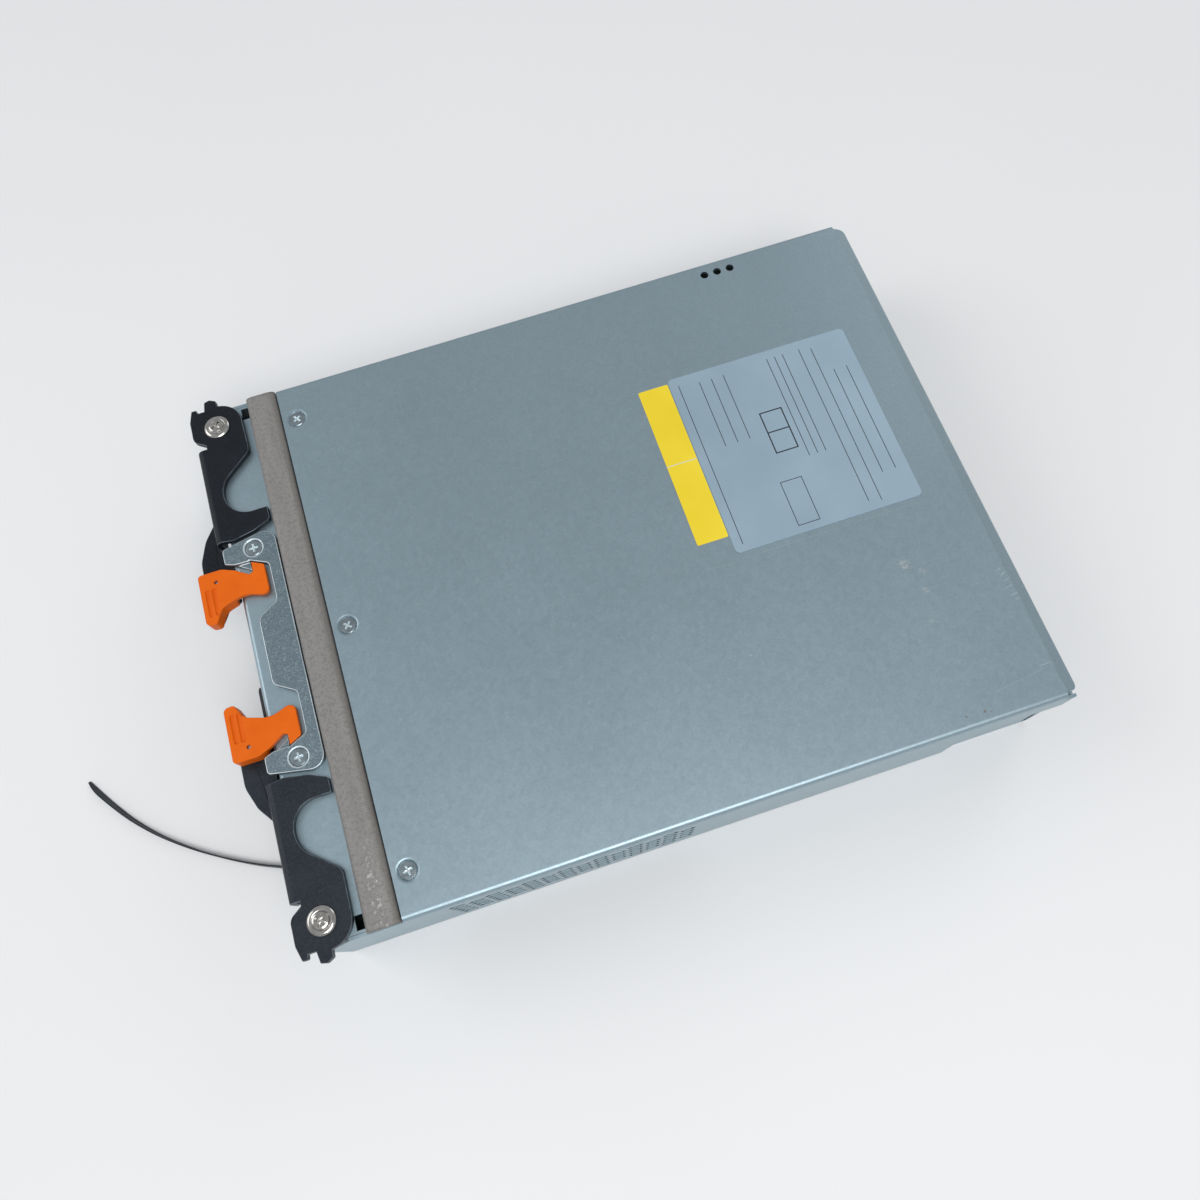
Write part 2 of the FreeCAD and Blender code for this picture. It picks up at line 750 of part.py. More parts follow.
def right_latch():
    plan = latch_plan()
    body = plate(plan, latch_z, latch_top_z)
    room = block((front_x - 1.4, front_x + nose_length), (-lever_inner_y, 0), (latch_z - sheet, latch_nose_z))
    swing = pivot_y - pin_y + beak_root - beak_clearance
    under_beak = rod(pivot_x, -pivot_y, latch_nose_z - sheet, beak_z, swing)
    beak_zone = block((front_x + 5.0, front_x + 12.0), (-pin_y - beak_reach - 1.0, -pin_y + 1.1),
                      (latch_nose_z - sheet, beak_z))
    pocket = drum([(z, spring_pocket_radius) for z in (latch_z - sheet, latch_z + spring_pocket_depth)],
                  upright(pin_x, -pin_y), round_sides)
    play = spring_wire / 2 + spring_leg_play
    swept = spring_leg * math.tan(math.radians(latch_swing)) + play
    leg_room = block((pin_x + spring_radius - play, pin_x + spring_radius + swept),
                     (-pin_y, -pin_y + spring_leg + play), (latch_z - sheet, latch_z + spring_pocket_depth))
    bore = rod(pin_x, -pin_y, latch_z - sheet, latch_top_z - pin_peep_depth, pin_radius + pin_fit)
    peep = drum([(z, pin_peep_radius) for z in (latch_z, latch_top_z + sheet)], upright(pin_x, -pin_y),
                can_sides)
    low = latch_top_z - groove_depth
    grooves = [plate(rectangle(x - groove_width / 2, x + groove_width / 2, groove_from_pin - pin_y,
                               groove_from_pin + groove_length - pin_y, groove_width / 2.1),
                     low, latch_top_z + sheet)
               for x in (front_x - 9.2, front_x - 7.1)]
    return cut_by(body, [room, under_beak.common(beak_zone), pocket, leg_room, bore, peep] + grooves)


def latch_pin():
    return rod(pin_x, -pin_y, lip_z, latch_top_z - pin_peep_depth - 0.2, pin_radius)


# Torsion spring: turns of square wire round the pin, one leg towards the latch's wall
def latch_spring():
    pitch = spring_wire * 1.4
    half = spring_wire / 2
    steps = spring_sides * spring_turns
    sections = []
    for k in range(steps + 1):
        turn = 2 * math.pi * k / spring_sides
        z = latch_z + half + pitch * k / spring_sides
        corners = [Vec(pin_x + r * math.cos(turn), r * math.sin(turn) - pin_y, z + c)
                   for r, c in ((spring_radius - half, -half), (spring_radius + half, -half),
                                (spring_radius + half, half), (spring_radius - half, half))]
        sections.append(corners)
    coil = skinned(sections)
    x = pin_x + spring_radius
    z = latch_z + half + pitch * spring_turns
    leg = block((x - half, x + half), (-pin_y, spring_leg - pin_y), (z - half, z + half))
    return coil.fuse(leg).removeSplitter()


# Fans
def fan_frame(y):
    x0, x1 = fan_front_x, fan_front_x + fan_depth
    half = fan_size / 2
    low, high = fan_z - half, fan_z + half
    a, b = y - half, y + half
    c = fan_corner
    frame = plate_facing([(a, low + c), (a + c, low), (b - c, low), (b, low + c), (b, high - c), (b - c, high),
                          (a + c, high), (a, high - c)], x0, x1)
    side = [(x0, low + fan_edge), (x0 + fan_edge, low), (x1, low), (x1, high), (x0 + fan_edge, high),
            (x0, high - fan_edge)]
    frame = frame.common(plate_across(side, y - half, y + half))
    holes = [drum([(x0 - 1, fan_bore), (x1 + 1, fan_bore)], lengthwise(y, fan_z), bore_sides)]
    holes += [drum([(x0 - 1, screw_radius), (x1 + 1, screw_radius)], lengthwise(*place))
              for place in fan_hole_places(y)]
    frame = cut_by(frame, holes)
    strut_x = (x1 - fan_strut_depth, x1)
    struts = [block(strut_x, (y - fan_bore - 0.5, y + fan_bore + 0.5),
                    (fan_z - fan_strut_width / 2, fan_z + fan_strut_width / 2)),
              block(strut_x, (y - fan_strut_width / 2, y + fan_strut_width / 2),
                    (fan_z - fan_bore - 0.5, fan_z + fan_bore + 0.5)),
              drum([(x, fan_hub_radius) for x in strut_x], lengthwise(y, fan_z), round_sides)]
    bearing = rod_x(x0, x1 + 1, y, fan_z, fan_shaft_radius + fan_shaft_fit)
    return joined([frame, *struts]).cut(bearing)


def fan_hole_places(y):
    reach = fan_size / 2 - fan_hole_inset
    return [(y - reach, fan_z - reach), (y + reach, fan_z - reach)]


# A blade is a thin bent plate, set at its pitch and cut to the bore's circle less the tip gap
def fan_blade(hub_middle):
    half = fan_blade_chord / 2
    thick = fan_blade_thickness
    camber = fan_blade_camber
    back = [(-half, 0), (-half / 3, camber), (half / 3, camber), (half, 0)]
    face = [(a, b - thick) for a, b in reversed(back)]
    blade = plate(back + face, 0, fan_blade_tip)
    blade.rotate(Vec(0, 0, 0), Vec(0, 0, 1), fan_blade_pitch)
    blade.translate(Vec(hub_middle, 0, 0))
    return blade


def fan_rotor(y):
    x_end = fan_front_x + fan_depth - fan_strut_depth - 0.8
    hub_x = x_end - fan_hub_length
    hub = drum([(hub_x, fan_hub_radius - 0.8), (hub_x + 0.8, fan_hub_radius), (x_end, fan_hub_radius)],
               lengthwise(0, 0), round_sides)
    sweep = drum([(hub_x, fan_blade_tip), (x_end, fan_blade_tip)], lengthwise(0, 0), bore_sides)
    blades = []
    for k in range(fan_blade_count):
        blade = fan_blade(hub_x + fan_hub_length / 2)
        blade.rotate(Vec(0, 0, 0), Vec(1, 0, 0), 360 * k / fan_blade_count)
        blades.append(blade.common(sweep))
    shaft = rod_x(x_end - 1.0, fan_front_x + fan_depth - 0.2, 0, 0, fan_shaft_radius)
    rotor = hub.fuse(blades + [shaft])
    rotor.translate(Vec(0, y, fan_z))
    return rotor


# Two screws hold each fan, in its lower corners
fan_screw_places = fan_hole_places(right_fan_y) + fan_hole_places(left_fan_y)


def panel_screw(y, z, head_x):
    shaft = drum([(head_x, screw_radius), (head_x + panel_screw_reach, screw_radius)], lengthwise(y, z))
    crown = screw_head_radius - panel_head_height / 2
    head = drum([(head_x - panel_head_height, crown), (head_x, screw_head_radius)],
                lengthwise(y, z), round_sides)
    return shaft.fuse(head)


# Mains inlet
inlet_screw_places = [inlet_y - inlet_screw_pitch / 2, inlet_y + inlet_screw_pitch / 2]
inlet_front_x = front_x - inlet_flange_thickness


def inlet_housing():
    y, z = inlet_y, inlet_z
    flange = plate_facing(rectangle(y - inlet_flange_width / 2, y + inlet_flange_width / 2,
                                    z - inlet_flange_height / 2, z + inlet_flange_height / 2,
                                    inlet_flange_corner), inlet_front_x, front_x)
    body = plate_facing(clipped_top(y, z, inlet_body_width, inlet_body_height, inlet_clip),
                        inlet_front_x, front_x + inlet_body_depth)
    cavity = plate_facing(clipped_top(y, z, inlet_cavity_width, inlet_cavity_height, inlet_clip),
                          inlet_front_x - 1, inlet_front_x + inlet_cavity_depth)
    screws = [drum([(inlet_front_x - 1, screw_radius), (front_x + 1, screw_radius)], lengthwise(a, z))
              for a in inlet_screw_places]
    pins = [block((front_x, front_x + inlet_body_depth + 1),
                  (a - inlet_pin_width / 2, a + inlet_pin_width / 2),
                  (b - inlet_pin_thickness / 2, b + inlet_pin_thickness / 2)) for a, b in inlet_pin_places]
    return cut_by(joined([flange, body]), [cavity] + screws + pins)


inlet_pin_places = [(inlet_y - inlet_pin_spacing / 2, inlet_z - inlet_pin_rise),
                    (inlet_y + inlet_pin_spacing / 2, inlet_z - inlet_pin_rise),
                    (inlet_y, inlet_z + inlet_pin_rise)]


def inlet_pin(y, z):
    tip = inlet_front_x + inlet_pin_recess
    back = front_x + inlet_body_depth + inlet_tab_length
    half = inlet_pin_thickness / 2
    blade = [(tip, z - half, 0.7), (back, z - half), (back, z + half), (tip, z + half, 0.7)]
    return plate_across(blade, y - inlet_pin_width / 2, y + inlet_pin_width / 2)


def light_pipe(z):
    tip = front_x - light_bezel
    levels = [(tip, light_radius - light_bezel / 2), (front_x, light_radius),
              (tip + light_length, light_radius)]
    return drum(levels, lengthwise(light_y, z), round_sides)


# Strap mount: a tie head pressed into the front panel
def strap_mount():
    x0 = front_x - strap_head_length
    y0 = strap_mount_y - strap_head_width / 2
    head = plate([(x0, y0, 1.0), (front_x, y0, 0.0), (front_x, y0 + strap_head_width, 0.0),
                  (x0, y0 + strap_head_width, 1.0)], 0, strap_head_height)
    half = strap_thickness / 2 + strap_fit
    return head.cut(block((x0 - 1, x0 + strap_slot_depth), (strap_mount_y - half, strap_mount_y + half),
                          (strap_lift - strap_fit, strap_lift + strap_width + strap_fit)))


# Strap route, chosen by eye: straight out of the head, then curling across the surface
strap_start_x = front_x - strap_head_length + strap_slot_depth - strap_fit
strap_bends = [(-9.0, 0.0), (-15.4, 2.8), (-23.4, 6.2), (-33.2, 11.6), (-43.6, 18.4), (-54.8, 27.6),
               (-65.2, 39.2), (-73.2, 51.4)]
strap_route = [(strap_start_x, strap_mount_y)] + [(front_x + x, strap_mount_y + y) for x, y in strap_bends]


def route_radii(route):
    radii = []
    for a, b, c in zip(route, route[1:], route[2:]):
        before = Vec(b[0] - a[0], b[1] - a[1], 0)
        after = Vec(c[0] - b[0], c[1] - b[1], 0)
        radii.append(0.45 * min(before.Length, after.Length) / math.tan(before.getAngle(after) / 2))
    return radii


def strap():
    radii = [0.0] + route_radii(strap_route) + [0.0]
    print("strap arc radii", [round(r, 1) for r in radii[1:-1]])
    edges = []
    last = Vec(*strap_route[0], 0)
    for (x, y), radius, after in zip(strap_route[1:-1], radii[1:-1], strap_route[2:]):
        here = Vec(x, y, 0)
        back = (last - here).normalize()
        ahead = (Vec(*after, 0) - here).normalize()
        opening = back.getAngle(ahead)
        reach = radius / math.tan(opening / 2)
        middle = (back + ahead).normalize()
        arc_middle = here + middle * (radius / math.sin(opening / 2) - radius)
        edges.append(Part.LineSegment(last, here + back * reach).toShape())
        edges.append(Part.Arc(here + back * reach, arc_middle, here + ahead * reach).toShape())
        last = here + ahead * reach
    edges.append(Part.LineSegment(last, Vec(*strap_route[-1], 0)).toShape())
    path = Part.Wire(edges)
    first = (Vec(*strap_route[1], 0) - Vec(*strap_route[0], 0)).normalize()
    side = Vec(-first.y, first.x, 0) * (strap_thickness / 2)
    start = Vec(*strap_route[0], strap_lift)
    up = Vec(0, 0, strap_width)
    section = Part.makePolygon([start + side, start - side, start - side + up, start + side + up, start + side])
    path.translate(Vec(0, 0, strap_lift))
    solid = path.makePipeShell([section], True, False)
    print("strap length", round(path.Length, 1), "volume ratio",
          round(solid.Volume / (path.Length * strap_width * strap_thickness), 4))
    return solid


# Circuit board with its supports
board_front_x = cover_x + board_front_gap
board_rear_x = rear_x - board_rear_gap
board_half = inner_half - sheet - board_side_gap
tongue_x = front_x + board_tongue_front
tongue_y = right_fan_y - fan_size / 2 - 2.0
standoff_places = [(x, y) for x in (board_front_x + standoff_inset, (board_front_x + board_rear_x) / 2,
                                    board_rear_x - standoff_inset)
                   for y in (standoff_inset - board_half, board_half - standoff_inset)]


def main_board():
    plan = [(tongue_x, -board_half), (board_rear_x, -board_half), (board_rear_x, board_half),
            (board_front_x, board_half), (board_front_x, tongue_y), (tongue_x, tongue_y)]
    holes = [drum([(0, screw_radius), (body_height, screw_radius)], upright(x, y)) for x, y in standoff_places]
    return cut_by(plate(plan, board_height, board_top_z), holes)


def insulation_sheet():
    plan = rectangle(board_front_x - 2.0, board_rear_x + 2.0, -board_half, board_half)
    holes = [plate(hexagon(x, y, 2 * (standoff_radius + standoff_hole_gap)), 0, board_height)
             for x, y in standoff_places]
    return cut_by(plate(plan, sheet, sheet + insulation_thickness), holes)


def standoff(x, y):
    post = plate(hexagon(x, y, 2 * standoff_radius), sheet, board_height)
    return post.cut(drum([(sheet, screw_radius), (board_height + 1, screw_radius)], upright(x, y)))


def board_screw(x, y):
    shaft = drum([(sheet + 1.0, screw_radius), (board_top_z, screw_radius)], upright(x, y))
    top = board_top_z + board_screw_head_height
    head = drum([(board_top_z, board_screw_head_radius), (top, board_screw_head_radius - 0.6)], upright(x, y))
    return shaft.fuse(head)


# Parts on the board, from the mains side to the output side
filter_x = board_front_x + stage_gap / 2 + filter_choke_radius
relay_x = filter_x + filter_choke_radius + stage_gap + relay_length / 2
bulk_x = relay_x + relay_length / 2 + stage_gap + bulk_radius
boost_x = (filter_x + bulk_x) / 2
sink_x = bulk_x - bulk_radius + stage_gap
core_x = bulk_x + bulk_radius + stage_gap + core_length / 2
output_x = core_x + core_length / 2 + stage_gap + output_can_radius


def toroid(x, y, outer, bore, height):
    low, high = board_top_z, board_top_z + height
    edge = (outer - bore) / 4
    ring = drum([(low, outer - edge), (low + edge, outer), (high - edge, outer), (high, outer - edge)],
                upright(x, y), can_sides)
    return ring.cut(drum([(low - 1, bore), (high + 1, bore)], upright(x, y), can_sides))


def can_capacitor(x, y, radius, top):
    levels = [(board_top_z, radius), (top - rim_height, radius), (top, radius - rim_height)]
    return drum(levels, upright(x, y), can_sides)


def film_capacitor(x, y):
    half_x, half_y = film_capacitor_length / 2, film_capacitor_width / 2
    return plate(rectangle(x - half_x, x + half_x, y - half_y, y + half_y), board_top_z,
                 board_top_z + film_capacitor_height)


def power_relay(x, y):
    half_x, half_y = relay_length / 2, relay_width / 2
    return plate(rectangle(x - half_x, x + half_x, y - half_y, y + half_y), board_top_z,
                 board_top_z + relay_height)


def fuse_caps(x, y):
    z = board_top_z + fuse_radius + fuse_cap_wall
    outer = fuse_radius + fuse_cap_wall
    bore = drum([(x - fuse_length, fuse_radius), (x + fuse_length, fuse_radius)], lengthwise(y, z))
    return [drum([(start, outer), (start + fuse_cap_length, outer)], lengthwise(y, z)).cut(bore)
            for start in (x - fuse_length / 2, x + fuse_length / 2 - fuse_cap_length)]


def fuse_tube(x, y):
    ends = (x - fuse_length / 2, x + fuse_length / 2)
    return drum([(end, fuse_radius) for end in ends], lengthwise(y, board_top_z + fuse_radius + fuse_cap_wall))


def finned_heatsink(x, y, length, side):
    low = board_top_z
    pitch = heatsink_height / heatsink_fins
    face = y + side * heatsink_web
    tip = face + side * heatsink_fin_depth
    profile = [(y, low), (face, low)]
    for k in range(heatsink_fins):
        z = low + (k + 0.5) * pitch
        half = heatsink_fin_thickness / 2
        profile += [(face, z - half), (tip, z - half / 2), (tip, z + half / 2), (face, z + half)]
    profile += [(face, low + heatsink_height), (y, low + heatsink_height)]
    return plate_facing(profile, x, x + length)


def power_package(x, y, side):
    low = board_top_z + package_lift
    half = package_width / 2
    body = block((x - half, x + half), sorted((y, y + side * package_thickness)), (low, low + package_height))
    leg_y = y + side * package_thickness / 2
    legs = [block((x + k * half * 0.7 - package_leg / 2, x + k * half * 0.7 + package_leg / 2),
                  (leg_y - package_leg / 4, leg_y + package_leg / 4), (board_top_z, low)) for k in (-1, 0, 1)]
    return joined([body, *legs])


core_height = cover_inner_z - core_headroom - board_top_z


def transformer_core(x, y):
    low = board_top_z
    outer = plate_across(rectangle(x - core_length / 2, x + core_length / 2, low, low + core_height, 0.8),
                         y - core_width / 2, y + core_width / 2)
    windows = [plate_across(rectangle(x + a, x + b, low + core_limb, low + core_height - core_limb),
                            y - core_width, y + core_width)
               for a, b in ((core_limb - core_length / 2, -core_limb),
                            (core_limb, core_length / 2 - core_limb))]
    return cut_by(outer, windows)


def transformer_winding(x, y):
    low = board_top_z + core_limb + winding_gap
    high = board_top_z + core_height - core_limb - winding_gap
    half_x = core_length / 2 - core_limb - winding_gap
    half_y = core_width / 2 + winding_wall
    coil = plate(rectangle(x - half_x, x + half_x, y - half_y, y + half_y), low, high)
    coil = coil.makeChamfer(core_limb / 2, [e for e in coil.Edges if abs(e.BoundBox.ZLength) > 1])
    limb_x = core_limb + winding_gap
    limb_y = core_width / 2 + winding_gap
    limb = block((x - limb_x, x + limb_x), (y - limb_y, y + limb_y), (low - 1, high + 1))
    feet = [block((x - core_limb, x + core_limb), sorted((y + s * limb_y, y + s * half_y)),
                  (board_top_z, low)) for s in (-1, 1)]
    return joined([coil.cut(limb), *feet])


def control_board(x, y):
    card = block((x, x + control_length), (y, y + control_thickness),
                 (board_top_z, board_top_z + control_height))
    chips = [block((x + a, x + a + control_chip), (y + control_thickness, y + control_thickness + 1.5),
                   (board_top_z + 8.0, board_top_z + 8.0 + control_chip)) for a in (6.0, 22.0)]
    return joined([card, *chips])


def bus_bar(y):
    x0 = output_x + output_can_radius + stage_gap
    x1 = connector_x - blade_tail - 0.3
    z1 = board_top_z + bus_bar_width
    foot = bus_bar_thickness
    profile = [(y, board_top_z), (y + 3 * foot, board_top_z), (y + 3 * foot, board_top_z + foot),
               (y + foot, board_top_z + foot, 0.5), (y + foot, z1), (y, z1)]
    return plate_facing(profile, x0, x1)


# Rear connector: power blades in their slots and two rows of signal pins
def output_connector():
    x0 = connector_x
    x1 = rear_x - connector_flush
    half = connector_width / 2
    z0 = connector_low_z
    z1 = z0 + connector_height
    gap = 0.15
    body = plate_facing(rectangle(-half + gap, half - gap, z0 + gap, z1 - gap, 0.8), x0, x1)
    body = body.fuse(block((x0, x0 + 6.0), (-half + 2.0, half - 2.0), (board_top_z, z0 + 1.0)))
    slots = []
    for y in blade_places():
        slots.append(block((x0 + 6.0, x1 + 1), (y - blade_slot_width / 2, y + blade_slot_width / 2),
                           (z0 + 2.5, z0 + 2.5 + blade_height + 1.5)))
        slots.append(block((x0 - 1, x1), (y - blade_thickness / 2, y + blade_thickness / 2),
                           (z0 + 3.0, z0 + 3.0 + blade_height)))
    signal = block((x0 + 6.0, x1 + 1), (half - signal_margin - signal_width, half - signal_margin),
                   (z0 + 3.5, z1 - 3.5))
    return cut_by(body.removeSplitter(), slots + [signal])


def blade_places():
    first = blade_margin - connector_width / 2
    last = connector_width / 2 - signal_margin - signal_width - blade_signal_gap
    return [first + k * blade_pitch for k in range(int((last - first) / blade_pitch) + 1)]


def connector_blade(y):
    z0 = connector_low_z + 3.0
    half = blade_thickness / 2
    return block((connector_x - blade_tail, rear_x - connector_flush - 4.0), (y - half, y + half),
                 (z0, z0 + blade_height))


def signal_pins():
    half = connector_width / 2
    x0 = connector_x + 6.0
    z_mid = connector_low_z + connector_height / 2
    pins = []
    for k in range(6):
        for row in (-2.0, 2.0):
            y = half - signal_margin - signal_width + 2.0 + k * 2.0
            pins.append(block((x0, x0 + 9.0), (y - 0.3, y + 0.3), (z_mid + row - 0.3, z_mid + row + 0.3)))
    return pins


# Write every sub-part
save("outer_cover", outer_cover())
save("base_tray", base_tray())
save("cover_screws", *[countersunk_screw(x, y, body_height, screw_reach) for x, y in cover_screw_places])
save("emi_gasket", emi_gasket())
save("latch_bracket", latch_bracket())
save("bracket_screws", *[countersunk_screw(x, y, bracket_z, screw_reach) for x, y in bracket_screw_places])
save("pivot_screws", pivot_screw(-pivot_y), pivot_screw(pivot_y))
save("pivot_nuts", pivot_nut(-pivot_y), pivot_nut(pivot_y))

right_parts = {"lever": right_lever(), "latch": right_latch(), "latch_pin": latch_pin(),
               "latch_spring": latch_spring()}
for piece, shape in right_parts.items():
    save("right_" + piece, shape)
    save("left_" + piece, mirrored(shape))

for side, fan_y in (("right", right_fan_y), ("left", left_fan_y)):
    save(side + "_fan_frame", fan_frame(fan_y))
    save(side + "_fan_rotor", fan_rotor(fan_y))
save("fan_screws", *[panel_screw(y, z, front_x) for y, z in fan_screw_places])

save("inlet_housing", inlet_housing())
save("inlet_pins", *[inlet_pin(y, z) for y, z in inlet_pin_places])
save("inlet_screws", *[panel_screw(y, inlet_z, inlet_front_x) for y in inlet_screw_places])
save("status_lights", *[light_pipe(z) for z in light_z])
save("strap_mount", strap_mount())
save("retention_strap", strap())

save("main_board", main_board())
save("insulation_sheet", insulation_sheet())
save("board_standoffs", *[standoff(x, y) for x, y in standoff_places])
save("board_screws", *[board_screw(x, y) for x, y in standoff_places])
filter_pitch = 2 * filter_choke_radius + stage_gap
filter_room = inlet_y + filter_choke_radius + board_half - standoff_inset - board_screw_head_radius
boost_y = stage_gap + boost_choke_radius - board_half
bulk_y = bulk_gap + bulk_radius - board_half
bulk_pitch = 2 * bulk_radius + bulk_gap
bulk_room = right_fan_y - package_thickness + board_half
fuse_y = inlet_y + relay_width / 2 + stage_gap + fuse_radius
film_y = inlet_y + filter_choke_radius + stage_gap / 2 + film_capacitor_width / 2
save("filter_chokes", *[toroid(filter_x, inlet_y - k * filter_pitch, filter_choke_radius, filter_choke_bore,
                               filter_choke_height) for k in range(int(filter_room / filter_pitch))])
save("film_capacitors", *[film_capacitor(filter_x, film_y + k * (film_capacitor_width + 1.0))
                          for k in range(2)])
save("inrush_relay", power_relay(relay_x, inlet_y))
save("fuse_tube", fuse_tube(relay_x, fuse_y))
save("fuse_caps", *fuse_caps(relay_x, fuse_y))
save("boost_choke", toroid(boost_x, boost_y, boost_choke_radius, boost_choke_bore, boost_choke_height))
save("bulk_capacitors", *[can_capacitor(bulk_x, bulk_y + k * bulk_pitch, bulk_radius,
                                        cover_inner_z - bulk_headroom)
                          for k in range(int(bulk_room / bulk_pitch))])
save("primary_heatsink", finned_heatsink(sink_x, right_fan_y, primary_sink_length, 1))
save("primary_transistors", *[power_package(sink_x + (k + 0.8) * package_pitch, right_fan_y, -1)
                              for k in range(3)])
save("transformer_core", transformer_core(core_x, inlet_y))
save("transformer_winding", transformer_winding(core_x, inlet_y))
save("secondary_heatsink", finned_heatsink(core_x, left_fan_y, secondary_sink_length, 1))
save("output_rectifiers", *[power_package(core_x + (k + 0.8) * package_pitch, left_fan_y, -1)
                            for k in range(2)])
save("output_capacitors", *[can_capacitor(output_x, boost_y + k * output_can_pitch, output_can_radius,
                                          board_top_z + output_can_height)
                            for k in range(output_can_count)])
save("control_board", control_board(sink_x + stage_gap,
                                    board_half - 2 * standoff_inset - 3 * control_thickness))
save("bus_bars", *[bus_bar(k * bus_bar_pitch) for k in (-1, 0)])
save("output_connector", output_connector())
save("output_blades", *[connector_blade(y) for y in blade_places()])
save("signal_pins", *signal_pins())
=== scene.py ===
# %% [markdown]
# # Hot swap server power supply
# A low, wide power supply that slides into a server's bay. The folded steel case, the cam levers and
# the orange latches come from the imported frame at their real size. This notebook gives every surface
# its finish, and models what sheet-metal drawings leave out: cross recesses, the cloth gasket, the
# loose strap and the labels. First comes the frame, which must stay exactly where it is.

# %% The frame
import bpy
import bmesh
import math
from mathutils import Matrix, Vector, noise


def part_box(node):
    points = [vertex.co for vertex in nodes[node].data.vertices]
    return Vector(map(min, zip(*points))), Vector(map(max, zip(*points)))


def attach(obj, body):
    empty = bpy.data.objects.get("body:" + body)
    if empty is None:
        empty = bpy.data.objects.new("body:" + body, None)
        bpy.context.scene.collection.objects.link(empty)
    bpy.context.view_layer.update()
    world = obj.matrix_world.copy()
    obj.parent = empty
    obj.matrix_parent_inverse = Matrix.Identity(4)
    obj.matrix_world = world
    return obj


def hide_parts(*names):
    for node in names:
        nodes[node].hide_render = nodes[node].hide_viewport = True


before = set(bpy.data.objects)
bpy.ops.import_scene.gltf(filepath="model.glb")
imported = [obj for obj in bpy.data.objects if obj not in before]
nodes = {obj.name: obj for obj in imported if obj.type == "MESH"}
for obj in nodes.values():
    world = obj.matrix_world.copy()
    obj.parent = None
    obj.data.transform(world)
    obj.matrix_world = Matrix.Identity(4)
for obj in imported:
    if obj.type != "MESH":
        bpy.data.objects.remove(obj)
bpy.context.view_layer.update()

# %% [markdown]
# ## Places worked out from the frame
# Sizes are in metres. Nearly all of them hang from three boxes: the cover, the tray and the gasket,
# so a change of the case moves the dressing with it.

# %% Places
mm = 0.001
gasket_low, gasket_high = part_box("emi_gasket")
gasket_gap = 0.6 * mm
front_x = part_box("base_tray")[0].x
cover_x = gasket_high.x + gasket_gap
top_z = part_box("outer_cover")[1].z
print("cover starts at", round(cover_x, 4), "top at", round(top_z, 4))


def new_object(name, data):
    made = bpy.data.objects.new(name, data)
    bpy.context.scene.collection.objects.link(made)
    return made


# %% [markdown]
# ## Camera
# The photograph was taken by hand from above the case's right side. Fitting the case's corners gave
# the camera's place, its three axes and its focal length, so the render lines up with the picture.

# %% Camera
picture_size = 1200
focal_pixels = 959.1
camera_place = Vector((cover_x + 61.57 * mm, -114.68 * mm, 319.22 * mm))
look_right = Vector((0.9505, -0.30802, -0.04084))
look_ahead = Vector((0.06631, 0.32951, -0.94182))

camera_data = bpy.data.cameras.new("camera")
camera = new_object("camera", camera_data)
back = -look_ahead.normalized()
up = back.cross(look_right).normalized()
right = up.cross(back)
turn = Matrix((right, up, back)).transposed()
camera.matrix_world = Matrix.Translation(camera_place) @ turn.to_4x4()
camera_data.sensor_width = 36.0
camera_data.lens = focal_pixels / picture_size * camera_data.sensor_width
camera_data.clip_start = 0.01
bpy.context.scene.camera = camera
print("lens", round(camera_data.lens, 2), "mm")

# %% [markdown]
# ## Retention strap
# A nylon strap, tied through a head in the front panel, holds the mains plug. Its loose tail stands on
# edge, twists a little and curls over the surface. A flat cord is easiest as a swept section: a NURBS
# curve gives the smooth route, and a small rounded rectangle is carried along it, with ratchet teeth on
# one face.

# %% Strap route
strap_width = 2.4 * mm
strap_thickness = 0.5 * mm
strap_lift = 0.2 * mm
strap_start = front_x - 2.55 * mm
strap_side = -61.0 * mm
strap_route = [(strap_start, strap_side), (front_x - 9.0 * mm, strap_side),
               (front_x - 15.4 * mm, -58.2 * mm), (front_x - 23.4 * mm, -54.8 * mm),
               (front_x - 33.2 * mm, -49.4 * mm), (front_x - 43.6 * mm, -42.6 * mm),
               (front_x - 54.8 * mm, -33.4 * mm), (front_x - 65.2 * mm, -21.8 * mm),
               (front_x - 73.2 * mm, -9.6 * mm)]
strap_mid_z = strap_lift + strap_width / 2


def evaluated_mesh(piece):
    bpy.context.view_layer.update()
    return bpy.data.meshes.new_from_object(piece.evaluated_get(bpy.context.evaluated_depsgraph_get()))


def smooth_route(points, height):
    curve = bpy.data.curves.new("route", "CURVE")
    curve.dimensions = "3D"
    curve.resolution_u = 24
    spline = curve.splines.new("NURBS")
    spline.points.add(len(points) - 1)
    for point, (x, y) in zip(spline.points, points):
        point.co = (x, y, height, 1.0)
    spline.order_u = 3
    spline.use_endpoint_u = True
    holder = new_object("route", curve)
    line = evaluated_mesh(holder)
    path = [v.co.copy() for v in line.vertices]
    bpy.data.objects.remove(holder)
    bpy.data.meshes.remove(line)
    return path


def even_stations(path, step):
    stations = [path[0]]
    for a, b in zip(path, path[1:]):
        while (b - stations[-1]).length >= step and (b - a).length > 0:
            stations.append(stations[-1] + (b - stations[-1]).normalized() * step)
    stations.append(path[-1])
    return stations


def path_length(path):
    return sum((b - a).length for a, b in zip(path, path[1:]))


strap_path = smooth_route(strap_route, strap_mid_z)

# %% [markdown]
# ## Small mesh helpers
# Meshes are built from plain lists of corners and faces. `add_piece` turns such lists into an object
# that sits at the origin, so its place is in its mesh and patterns on object coordinates stay put.
# `loft` skins a row of outlines and caps both ends, and `lathe` lofts circles.

# %% Mesh helpers
merge_distance = 1e-7


def shade(mesh, smooth=True):
    mesh.polygons.foreach_set("use_smooth", [smooth] * len(mesh.polygons))


